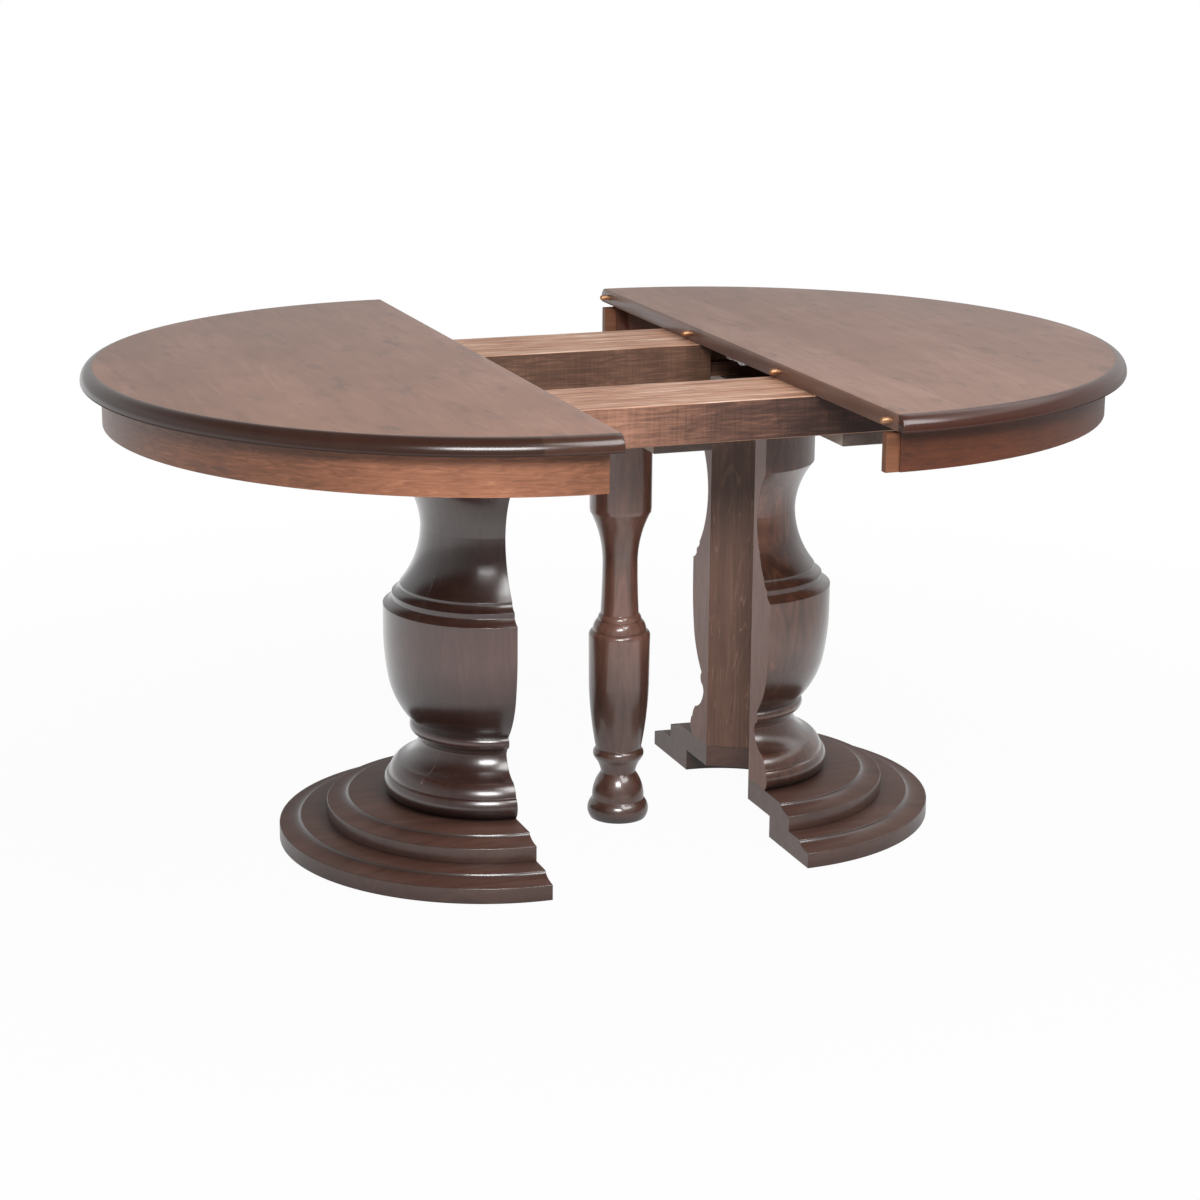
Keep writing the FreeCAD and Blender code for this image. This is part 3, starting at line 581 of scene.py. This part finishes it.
tongue_maple = tongue_finish(["#5f3722", "#7c4d33", "#925f43"], seed=2.9)
finishes = {
    "slide_wood": slide_finish("slide_maple_thin_stain", ["#3a251b", "#5f4131", "#89634e"], left_painted_light=0.0,
                               right_painted_shade=0.0, seed=5.9),
    "board_wood": board_finish(seed=6.3),
    # Turned brass gone dull: copper-brown with a soft glint
    "pin_brass": metal("pin_turned_brass", "#ad805f", "#c59876", rough=0.5),
    # Zinc plate, pale grey and fairly bright; yellowed on the screws
    "lock_steel": metal("lock_zinc_plate", "#c8c9c9", "#dedfdf", rough=0.34),
    "screw_steel": metal("screw_zinc_plate", "#aea896", "#c4beae", rough=0.38),
    "glide_nylon": nylon("glide_nylon", "#1d1917", "#2b2522"),
}
own_finish = {
    "centre_leg": leg_finish(["#4e342a", "#80594b", "#9f7465"], seed=4.7),
    # Front runner: painted light at its left end, painted shade at its right end under the right top
    "right_runner_front": slide_finish("front_slide_maple_thin_stain",
                                       ["#3a241c", "#604033", "#8a614e", "#a87a65"], left_painted_light=0.15,
                                       right_painted_shade=-0.6, seed=8.2),
    "apron_tongue_front": tongue_maple,
    "apron_tongue_back": tongue_maple,
}
base_shades = ["#432b23", "#593c32", "#6c4d42"]
sawn_base_shades = ["#5a443c", "#6d564d", "#7e675e"]
sawn_stave_shades = ["#7d5a4f", "#967166", "#a9847a"]
half_finishes = {
    "left": {
        "top_wood": top_finish("left", ["#785544", "#946b58", "#af8571"], rim_shade="#2a150f",
                               edge_glaze=0.86, seed=0.3),
        "apron_wood": apron_finish("left", ["#523223", "#7a4b32", "#a2684b", "#bd8462"], seed=1.1),
        "pedestal_wood": pedestal_finish("left", ["#38211b", "#4a2d26", "#5d3c34"], sawn_stave_shades,
                                         seed=2.3),
        "base": base_finish("left", base_shades, sawn_base_shades, seed=3.1)},
    "right": {
        "top_wood": top_finish("right", ["#755547", "#906b5b", "#a98474"], rim_shade="#391b13",
                               edge_glaze=0.94, seed=7.3),
        "apron_wood": apron_finish("right", ["#43200e", "#643219", "#8a4d2c"], seed=4.1),
        "pedestal_wood": pedestal_finish("right", ["#38221a", "#613d2f", "#9f674e"], sawn_stave_shades,
                                         seed=9.4),
        "base": base_finish("right", base_shades, sawn_base_shades, seed=6.7)},
}
slot_of = {row["node"]: row["material_slot"] for row in frame["record"]["subparts"]}


def finish_of(node):
    """The finish of a node: its own, or else its half's, or else its slot's."""
    woods = half_finishes["right" if node.startswith("right") else "left"]
    if node.endswith("_base"):
        return woods["base"]
    slot = slot_of[node]
    return own_finish.get(node) or woods.get(slot) or finishes[slot]


for name, piece in nodes.items():
    piece.data.materials.clear()
    piece.data.materials.append(finish_of(name))


# Modelling by hand

def settle():
    """Put the place, turn and scale of the selected piece into its mesh."""
    bpy.ops.object.transform_apply(location=True, rotation=True, scale=True)


def open_for_shaping(name):
    """Name the primitive just added, put its place in its mesh and open it in edit mode."""
    piece = bpy.context.object
    piece.name = name
    piece.data.name = name
    settle()
    bpy.ops.object.mode_set(mode="EDIT")
    return piece


def pick(piece, kind, wanted):
    """Select the wanted edges or faces of the piece in edit mode."""
    bpy.ops.mesh.select_mode(type=kind)
    bpy.ops.mesh.select_all(action="DESELECT")
    shape = bmesh.from_edit_mesh(piece.data)
    for part in shape.edges if kind == "EDGE" else shape.faces:
        part.select_set(wanted(part))
    bmesh.update_edit_mesh(piece.data)


def pick_edges(piece, at):
    """Select the edges whose middle is at a wanted place."""
    pick(piece, "EDGE", lambda edge: at((edge.verts[0].co + edge.verts[1].co) / 2))


def pick_faces(piece, towards, at):
    """Select the faces that point a given way and whose middle is at a wanted place."""
    pick(piece, "FACE",
         lambda face: face.normal.dot(Vector(towards)) > SAME_WAY and at(face.calc_center_median()))


def saw(half, at):
    """Saw the piece in edit mode across, and keep the side that the half has."""
    bpy.ops.mesh.select_all(action="SELECT")
    bpy.ops.mesh.bisect(plane_co=(at, 0, 0), plane_no=(-sawn_way[half], 0, 0), use_fill=True,
                        clear_inner=True)


def take_up(piece):
    """Leave edit mode with only this piece selected."""
    if bpy.context.object and bpy.context.object.mode == "EDIT":
        bpy.ops.object.mode_set(mode="OBJECT")
    bpy.ops.object.select_all(action="DESELECT")
    piece.select_set(True)
    bpy.context.view_layer.objects.active = piece


def close_shape(piece):
    """Turn every face outwards and leave edit mode."""
    bpy.ops.mesh.select_all(action="SELECT")
    bpy.ops.mesh.normals_make_consistent(inside=False)
    take_up(piece)


def copy_of(piece):
    """A copy of a piece, selected alone."""
    take_up(piece)
    bpy.ops.object.duplicate(linked=False)
    return bpy.context.object


def combine(piece, other, how):
    """Cut one shape out of a piece, or weld it on."""
    take_up(piece)
    joint = piece.modifiers.new("joint", "BOOLEAN")
    joint.operation = how
    joint.object = other
    bpy.ops.object.modifier_apply(modifier=joint.name)
    bpy.data.objects.remove(other)


def finished(piece, body, node):
    """Smooth the rounds, put the finish on, and let the piece stand for its node on its body."""
    take_up(piece)
    bpy.ops.object.shade_smooth_by_angle(angle=math.radians(SMOOTH_UNDER))
    piece.data.materials.clear()
    piece.data.materials.append(finish_of(node))
    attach(piece, body)
    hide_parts(node)
    piece.select_set(False)


def turned(name, foot, aim, rings, steps):
    """Lathe a piece along its axis: each ring is a step onward and a new radius, in millimetres."""
    facing_aim = Vector(aim).to_track_quat("Z", "Y").to_euler()
    bpy.ops.mesh.primitive_circle_add(vertices=steps, radius=mm(rings[0][1]), fill_type="NGON", location=foot,
                                      rotation=facing_aim)
    piece = open_for_shaping(name)
    bpy.ops.mesh.select_mode(type="FACE")
    bpy.ops.mesh.select_all(action="SELECT")
    middle = Vector(foot)
    last = rings[0][1]
    for step, radius in rings[1:]:
        onward = Vector(aim) * mm(step)
        middle = middle + onward
        bpy.ops.mesh.extrude_region_move(TRANSFORM_OT_translate={"value": onward})
        bpy.ops.transform.resize(value=(radius / last,) * 3, center_override=middle)
        last = radius
    close_shape(piece)
    return piece


def bore_bar(middle, low, high, bore, steps):
    """A bar a little longer than the piece it is to be taken out of."""
    past = mm(BORE_PAST)
    rings = [(0, bore), (to_mm(high - low + 2 * past), bore)]
    return turned("bore", (*middle, low - past), UP, rings, steps)


def on_round(spot, split, radius):
    """Whether a place is out on a round edge, told from the middle of a half's split."""
    return math.hypot(spot.x - split, spot.y) > radius * ON_EDGE


# Half tops

def half_top(half):
    """Half-round top: a disc sawn at the split, rounded over at the rim and eased at the saw cut."""
    split = halves[half]
    bpy.ops.mesh.primitive_cylinder_add(vertices=RIM_STEPS, radius=top_radius, depth=table_height - top_under,
                                        location=(split, 0, (table_height + top_under) / 2))
    piece = open_for_shaping(half + "_half_top")
    saw(half, split)
    for height, rounded, bends in ((table_height, RIM_ROUND, RIM_BENDS),
                                   (top_under, UNDER_ROUND, UNDER_BENDS)):
        pick_edges(piece, lambda spot: abs(spot.z - height) < NEAR and on_round(spot, split, top_radius))
        bpy.ops.mesh.bevel(offset=mm(rounded), segments=bends, affect="EDGES")
    pick_edges(piece, lambda spot: abs(spot.x - split) < NEAR)
    bpy.ops.mesh.bevel(offset=mm(TOP_ARRIS), segments=ARRIS_BENDS, affect="EDGES")
    take_up(piece)
    return piece


pin_height = pin_tip[2] + pin_radius
pin_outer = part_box("leaf_pins")[1][1] - pin_radius
pin_rows = (-pin_outer, -mm(PIN_INNER), mm(PIN_INNER), pin_outer)

left_half_top = half_top("left")
for row in pin_rows:
    bpy.ops.mesh.primitive_cylinder_add(vertices=PIN_STEPS, radius=pin_radius + mm(SOCKET_PLAY),
                                        depth=2 * mm(SOCKET_DEEP), rotation=(0, math.pi / 2, 0),
                                        location=(split_left, row, pin_height))
    combine(left_half_top, bpy.context.object, "DIFFERENCE")
finished(left_half_top, "left_half", "left_top")
finished(half_top("right"), "right_half", "right_top")


# Leaf pins: shoulder, waist and round nose

first_pin = turned("leaf_pin_1", (split_right, pin_rows[0], pin_height), (-1, 0, 0), PIN_RINGS, PIN_STEPS)
pins = [first_pin]
for count, row in enumerate(pin_rows[1:], 2):
    pin = copy_of(first_pin)
    pin.name = "leaf_pin_%d" % count
    pin.location.y = row - pin_rows[0]
    settle()
    pins.append(pin)
for pin in pins:
    finished(pin, "right_half", "leaf_pins")


# Lock under the tops

def lock_plate(name, node, thick):
    """Stamped plate with round corners, eased below."""
    low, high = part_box(node)
    middle = [(a + b) / 2 for a, b in zip(low, high)]
    middle[2] = high[2] - mm(thick) / 2
    bpy.ops.mesh.primitive_cube_add(size=1.0, location=middle,
                                    scale=(high[0] - low[0], high[1] - low[1], mm(thick)))
    piece = open_for_shaping(name)
    pick_edges(piece, lambda spot: abs(spot.z - middle[2]) < NEAR)
    bpy.ops.mesh.bevel(offset=mm(PLATE_CORNER), segments=CORNER_BENDS, affect="EDGES")
    pick_edges(piece, lambda spot: abs(spot.z - high[2] + mm(thick)) < NEAR)
    bpy.ops.mesh.bevel(offset=mm(PLATE_ARRIS), segments=ARRIS_BENDS, affect="EDGES")
    take_up(piece)
    return piece


def countersink(piece, spots):
    """Sink a cone for each screw head."""
    for x, y, z in spots:
        cone = turned("countersink", (x, y, z - mm(SINK_MOUTH)), UP, SINK_RINGS, PIN_STEPS)
        combine(piece, cone, "DIFFERENCE")


def lock_lever(pivot, low, high):
    """Flat lever: a round hub drawn out into an arm and handle, with a hook swept round the pivot."""
    bpy.ops.mesh.primitive_cylinder_add(vertices=LEVER_STEPS, radius=mm(LEVER_HUB), depth=high - low,
                                        location=(0, 0, (low + high) / 2))
    piece = open_for_shaping("lock_hook_lever")
    pick_faces(piece, (1, 0, 0), lambda spot: spot.x > 0)
    bpy.ops.mesh.extrude_region_move()
    bpy.ops.transform.resize(value=(0, 1, 1), center_override=(mm(HOOK_INNER), 0, 0))
    bpy.ops.mesh.extrude_region_move(TRANSFORM_OT_translate={"value": (mm(HOOK_WIDE), 0, 0)})
    bpy.ops.mesh.extrude_region_move(TRANSFORM_OT_translate={"value": (mm(LEVER_HANDLE), 0, 0)})
    hook_from = mm(HOOK_INNER)
    hook_to = mm(HOOK_INNER + HOOK_WIDE)
    pick_faces(piece, (0, 1, 0), lambda spot: hook_from < spot.x < hook_to)
    bpy.ops.mesh.spin(steps=HOOK_BENDS, angle=math.radians(HOOK_SWEEP), center=(0, 0, 0), axis=UP)
    bpy.ops.mesh.select_all(action="DESELECT")
    bpy.ops.mesh.select_mode(type="EDGE")
    bpy.ops.mesh.edges_select_sharp(sharpness=math.radians(SHARP_OVER))
    bpy.ops.mesh.bevel(offset=mm(PLATE_ARRIS), segments=ARRIS_BENDS, affect="EDGES")
    close_shape(piece)
    piece.rotation_euler = (0, 0, math.radians(LEVER_REST))
    piece.location = (pivot, 0, 0)
    settle()
    return piece


def cross_screw(length):
    """Countersunk wood screw with a cross recess, pointing up, its head's face at the origin."""
    shank = length - HEAD_TALL - POINT_LONG
    rings = [(0, HEAD_ROUND - HEAD_EASE), (HEAD_EASE, HEAD_ROUND), (HEAD_TALL - HEAD_EASE, SHANK),
             (shank, SHANK), (POINT_LONG, POINT_TIP)]
    piece = turned("cross_screw", (0, 0, 0), UP, rings, SCREW_STEPS)
    recess = (mm(RECESS_LONG), mm(RECESS_WIDE), mm(2 * RECESS_DEEP))
    for turn in (0, math.pi / 2):
        bpy.ops.mesh.primitive_cube_add(size=1.0, scale=recess, rotation=(0, 0, turn))
        combine(piece, bpy.context.object, "DIFFERENCE")
    return piece


def stand_at(first, name, spots, upwards=True):
    """Copy a piece to every place of a group, each turned a little further, and join the copies."""
    copies = []
    for count, place in enumerate(spots):
        copy = copy_of(first)
        copy.location = place
        copy.rotation_euler = (0 if upwards else math.pi, 0, math.radians(SCREW_TURN * count))
        copies.append(copy)
    bpy.data.objects.remove(first)
    take_up(copies[0])
    if len(copies) > 1:
        for copy in copies:
            copy.select_set(True)
        bpy.ops.object.join()
    settle()
    group = bpy.context.object
    group.name = name
    group.data.name = name
    return group


def set_screws(node, body, length, spots, upwards=True):
    """Screws of one length standing for a group's node."""
    group = stand_at(cross_screw(length), node + "_cross_head", spots, upwards)
    finished(group, body, node)


def standing_in(node):
    """Low and high corners of each upright piece of a group, told apart by where it stands in plan."""
    groups = []
    for corner in nodes[node].data.vertices:
        spot = nodes[node].matrix_world @ corner.co
        mates = [group for group in groups if math.dist(group[0][:2], spot[:2]) < mm(PIECE_APART)]
        if mates:
            mates[0].append(spot)
        else:
            groups.append([spot])
    return [(Vector(map(min, zip(*group))), Vector(map(max, zip(*group)))) for group in groups]


def feet_of(standing, upwards=True):
    """Middle of the lower end of each upright piece, or of the upper end of one that points down."""
    middles = [(low + high) / 2 for low, high in standing]
    ends = [low if upwards else high for low, high in standing]
    return [(middle.x, middle.y, end.z) for middle, end in zip(middles, ends)]


def round_size(low, high):
    """Radius and height of an upright round piece, in millimetres, from its corners."""
    return to_mm(high[0] - low[0]) / 2, to_mm(high[2] - low[2])


def set_upright_screws(node, body, upwards=True):
    """Screws where a group's node has them, of its length."""
    standing = standing_in(node)
    _, length = round_size(*standing[0])
    set_screws(node, body, length, feet_of(standing, upwards), upwards)


lock_low, lock_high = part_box("lock_body")
lever_low, lever_high = [corner[2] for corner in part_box("lock_lever")]
keeper_low, keeper_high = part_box("lock_keeper")
plate_under = top_under - mm(LOCK_PLATE)
pivot_x = split_right + mm(LOCK_PIVOT)
edge = mm(LOCK_SCREW_EDGE)
lock_spots = [(lock_high[0] - edge, side * (lock_high[1] - edge), plate_under) for side in (-1, 1)]
keeper_spots = [(keeper_low[0] + edge, side * (keeper_high[1] - edge), plate_under) for side in (-1, 1)]

lock = lock_plate("lock_plate_and_pivot", "lock_body", LOCK_PLATE)
countersink(lock, lock_spots)
rivet_long = to_mm(plate_under - lock_low[2]) - RIVET_HEAD
rivet_rings = [(0, RIVET_ROUND), (RIVET_ROOT + rivet_long, RIVET_ROUND)] + RIVET_HEAD_RINGS
rivet = turned("rivet", (pivot_x, 0, plate_under + mm(RIVET_ROOT)), DOWN, rivet_rings, PIN_STEPS)
combine(lock, rivet, "UNION")
finished(lock, "right_half", "lock_body")
finished(lock_lever(pivot_x, lever_low, lever_high), "lock_lever", "lock_lever")

keeper = lock_plate("keeper_plate_and_stud", "lock_keeper", LOCK_PLATE)
countersink(keeper, keeper_spots)
stud_long = to_mm(plate_under - keeper_low[2])
stud_rings = [(0, STUD_ROUND), (RIVET_ROOT + stud_long - STUD_NOSE, STUD_ROUND)] + STUD_NOSE_RINGS
stud_root = (split_left - mm(STUD_INSET), 0, plate_under + mm(RIVET_ROOT))
stud = turned("stud", stud_root, DOWN, stud_rings, PIN_STEPS)
combine(keeper, stud, "UNION")
finished(keeper, "left_half", "lock_keeper")

set_screws("lock_screws", "right_half", SHORT_SCREW, lock_spots)
set_screws("keeper_screws", "left_half", SHORT_SCREW, keeper_spots)


# Base plates

def coved_plate(half, level, hollow, sides):
    """Half-round plate: turned with a cove that steepens to its upper edge, then sawn, eased and hollowed."""
    node = half + "_" + level + "_base"
    low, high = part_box(node)
    split = halves[half]
    radius = to_mm(high[1])
    band = to_mm(high[2] - low[2]) - COVE_RISE
    turns = [math.pi / 2 * count / COVE_STEPS for count in range(COVE_STEPS + 1)]
    rises = [COVE_RISE * (1 - math.cos(turn)) for turn in turns]
    steps = [after - before for before, after in zip(rises, rises[1:])]
    cove = [(step, radius - COVE_IN * math.sin(turn)) for step, turn in zip(steps, turns[1:])]
    rings = [(0, radius), (band, radius)] + cove
    piece = turned(node + "_coved", (split, 0, low[2]), UP, rings, RIM_STEPS)
    bpy.ops.object.mode_set(mode="EDIT")
    saw(half, low[0] if half == "right" else high[0])
    for height, reach in ((low[2] + mm(band), radius), (high[2], radius - COVE_IN)):
        pick_edges(piece, lambda spot: abs(spot.z - height) < NEAR and on_round(spot, split, mm(reach)))
        bpy.ops.mesh.bevel(offset=mm(PLATE_EASE), segments=EASE_BENDS, affect="EDGES")
    take_up(piece)
    combine(piece, bore_bar((split, 0), low[2], high[2], hollow, sides), "DIFFERENCE")
    return piece


for half in halves:
    upper = coved_plate(half, "upper", UPPER_HOLLOW / math.cos(math.pi / HOLLOW_SIDES), HOLLOW_SIDES)
    lower = coved_plate(half, "lower", LOWER_HOLLOW, HOLLOW_STEPS)
    countersink(lower, feet_of(standing_in(half + "_base_screws")))
    finished(upper, half + "_half", half + "_upper_base")
    finished(lower, half + "_half", half + "_lower_base")


# Screws, leg bolt and floor glides

for half in halves:
    set_upright_screws(half + "_board_screws", half + "_half")
    set_upright_screws(half + "_top_screws", half + "_half")
    set_upright_screws(half + "_base_screws", half + "_half")
    set_upright_screws(half + "_column_screws", half + "_half", upwards=False)
set_upright_screws("plank_screws", "centre")


def chamfered(wide, tall, rise, inset):
    """Rings of a round bar with a chamfer at each end."""
    return [(0, wide - inset), (rise, wide), (tall - 2 * rise, wide), (rise, wide - inset)]


def leg_fastening():
    """Bolt with chamfered ends, washer with rolled edges, and a six-sided nut with its corners turned off."""
    low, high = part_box("leg_bolt")
    middle = ((low[0] + high[0]) / 2, (low[1] + high[1]) / 2)
    bolt_round, tall = round_size(low, high)
    bolt_rings = chamfered(bolt_round, tall, BOLT_CHAMFER, BOLT_CHAMFER)
    bolt = turned("leg_bolt_chamfered", (*middle, low[2]), UP, bolt_rings, SCREW_STEPS)
    finished(bolt, "centre", "leg_bolt")
    bore = bolt_round + BOLT_PLAY
    low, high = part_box("leg_washer")
    washer_rings = chamfered(*round_size(low, high), WASHER_EDGE, WASHER_EDGE)
    washer = turned("leg_washer_rolled", (*middle, low[2]), UP, washer_rings, PIN_STEPS)
    combine(washer, bore_bar(middle, low[2], high[2], bore, PIN_STEPS), "DIFFERENCE")
    finished(washer, "centre", "leg_washer")
    low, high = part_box("leg_nut")
    wide, tall = round_size(low, high)
    bpy.ops.mesh.primitive_cylinder_add(vertices=6, radius=mm(wide), depth=high[2] - low[2],
                                        rotation=(0, 0, math.pi / 2),
                                        location=(*middle, (low[2] + high[2]) / 2))
    nut = open_for_shaping("leg_nut_chamfered")
    take_up(nut)
    nut_rings = chamfered(wide, tall, NUT_CHAMFER_TALL, NUT_CHAMFER_IN)
    combine(nut, turned("nut_turning", (*middle, low[2]), UP, nut_rings, LEVER_STEPS), "INTERSECT")
    combine(nut, bore_bar(middle, low[2], high[2], bore, PIN_STEPS), "DIFFERENCE")
    finished(nut, "centre", "leg_nut")


def floor_glides(node, body):
    """Domed nylon glides under a foot."""
    standing = standing_in(node)
    wide, tall = round_size(*standing[0])
    rings = [(step, wide - inset) for step, inset in GLIDE_DOME] + [(tall - GLIDE_DOME_TALL, wide)]
    first = turned("floor_glide", (0, 0, 0), UP, rings, PIN_STEPS)
    group = stand_at(first, node + "_domed", feet_of(standing))
    finished(group, body, node)


leg_fastening()
for half in halves:
    floor_glides(half + "_floor_glides", half + "_half")
floor_glides("leg_glide", "centre")


# Stage, in metres

WHITE = (1, 1, 1, 1)
FLOOR_WIDE = 80.0
CAMERA_AT = (-1.5111, -4.0762, 1.53)
CAMERA_ROUND = 20.362
CAMERA_DOWN = 14.326
CAMERA_ROLL = 0.526
CAMERA_LENS = 85.27
CAMERA_SENSOR = 36.0
CAMERA_SHIFT = (-0.0092, -0.0294)
CAMERA_REACH = 200.0


def reflected(tree, path):
    """1 for light that mirrors and glass show, 0 for other light."""
    return add(tree, "Math", {0: path.outputs["Is Glossy Ray"], 1: path.outputs["Is Transmission Ray"]},
               operation="MAXIMUM")


def white_floor():
    """White paper floor with a light shadow; reflections find it dimmer in front and aside, with a painted
    shadow by the table.
    """
    bpy.ops.mesh.primitive_plane_add(size=FLOOR_WIDE, location=(0, 0, 0))
    floor = bpy.context.object
    floor.name = "floor"
    material, tree = new_material("floor_white_paper")
    place = coordinate(tree)
    path = add(tree, "LightPath")
    axes = add(tree, "SeparateXYZ", {0: place})
    spread = add(tree, "VectorMath", {0: place}, operation="LENGTH").outputs["Value"]
    near = add(tree, "MapRange", {"Value": spread, "From Min": 0.8, "From Max": 2.4, "To Min": 0.965,
                                  "To Max": 1.0})
    side = add(tree, "MapRange", {"Value": axes.outputs["X"], "From Min": 0.7, "From Max": 1.8,
                                  "To Min": 1.0, "To Max": 0.5})
    far = add(tree, "MapRange", {"Value": axes.outputs["Y"], "From Min": -4.0, "From Max": -1.7,
                                 "To Min": 0.2, "To Max": 1.0})
    # Painted shadow: the floor's glow in reflections is dimmed near the table
    shade = add(tree, "MapRange", {"Value": spread, "From Min": 0.4, "From Max": 1.0, "To Min": 0.6,
                                   "To Max": 1.0})
    bright = add(tree, "Math", {0: far, 1: side}, operation="MULTIPLY")
    bright = add(tree, "Math", {0: bright, 1: shade}, operation="MULTIPLY")
    in_view = add(tree, "Math", {0: path.outputs["Is Camera Ray"], 1: near}, operation="MULTIPLY")
    mirrored = reflected(tree, path)
    share = add(tree, "Math", {0: in_view, 1: mirrored}, operation="MAXIMUM")
    strength = add(tree, "Mix", {0: mirrored, 2: 1.0, 3: bright})
    paper = add(tree, "BsdfDiffuse", {"Color": linear("#b8b8b8")})
    glow = add(tree, "Emission", {"Color": WHITE, "Strength": strength})
    mixed = add(tree, "MixShader", {0: share, 1: paper, 2: glow})
    add(tree, "OutputMaterial", {"Surface": mixed})
    floor.data.materials.append(material)


def white_room():
    """White behind the table; reflections find it dim in front and overhead, and pale high on the right."""
    world = bpy.data.worlds.new("white_room")
    scene.world = world
    world.use_nodes = True
    tree = world.node_tree
    tree.nodes.clear()
    path = add(tree, "LightPath")
    axes = add(tree, "SeparateXYZ", {0: coordinate(tree, "Generated")})
    depth = add(tree, "MapRange", {"Value": axes.outputs["Y"], "From Min": -0.9, "From Max": 0.5,
                                   "To Min": 0.2, "To Max": 0.65})
    height = add(tree, "MapRange", {"Value": axes.outputs["Z"], "From Min": 0.35, "From Max": 0.75,
                                    "To Min": 1.0, "To Max": 0.2})
    dimmed = add(tree, "Math", {0: depth, 1: height}, operation="MULTIPLY")
    right = add(tree, "MapRange", {"Value": axes.outputs["X"], "From Min": 0.1, "From Max": 0.4})
    strip_foot = add(tree, "MapRange", {"Value": axes.outputs["Z"], "From Min": 0.5, "From Max": 0.62,
                                        "To Max": 1.2})
    strip_head = add(tree, "MapRange", {"Value": axes.outputs["Z"], "From Min": 0.7, "From Max": 0.95,
                                        "To Min": 1.0, "To Max": 0.0})
    strip = add(tree, "Math", {0: strip_foot, 1: strip_head}, operation="MULTIPLY")
    dimmed = add(tree, "Math", {0: right, 1: strip, 2: dimmed}, operation="MULTIPLY_ADD")
    room = add(tree, "Background", {"Color": WHITE, "Strength": 0.22})
    shine = add(tree, "Background", {"Color": WHITE, "Strength": dimmed})
    white = add(tree, "Background", {"Color": WHITE, "Strength": 1.0})
    lit = add(tree, "MixShader", {0: reflected(tree, path), 1: room, 2: shine})
    shown = add(tree, "MixShader", {0: path.outputs["Is Camera Ray"], 1: lit, 2: white})
    add(tree, "OutputWorld", {"Surface": shown})


def softbox(name, place, aim, wide, tall, watts):
    """Flat lamp turned towards a point."""
    lamp = bpy.data.lights.new(name, "AREA")
    lamp.shape = "RECTANGLE"
    lamp.size = wide
    lamp.size_y = tall
    lamp.energy = watts
    holder = bpy.data.objects.new(name, lamp)
    scene.collection.objects.link(holder)
    holder.location = place
    holder.rotation_euler = (Vector(aim) - Vector(place)).to_track_quat("-Z", "Y").to_euler()


white_floor()
white_room()
softbox("front_softbox", place=(-1.45, -4.3, 3.0), aim=(0, 0, 0.5), wide=2.0, tall=1.1, watts=170.0)
softbox("high_softbox", place=(1.2, -2.6, 3.3), aim=(0, 0, 0.7), wide=2.2, tall=2.0, watts=100.0)

# Camera at the photograph's place, round to the left of the front and looking a little down
camera = bpy.data.objects.new("camera", bpy.data.cameras.new("camera"))
scene.collection.objects.link(camera)
camera.data.sensor_width = CAMERA_SENSOR
camera.data.lens = CAMERA_LENS
camera.data.shift_x, camera.data.shift_y = CAMERA_SHIFT
camera.data.clip_end = CAMERA_REACH
turn = Matrix.Rotation(math.radians(-CAMERA_ROUND), 4, "Z")
tilt = Matrix.Rotation(math.radians(90.0 - CAMERA_DOWN), 4, "X")
roll = Matrix.Rotation(math.radians(CAMERA_ROLL), 4, "Z")
camera.matrix_world = Matrix.Translation(CAMERA_AT) @ turn @ tilt @ roll
scene.camera = camera
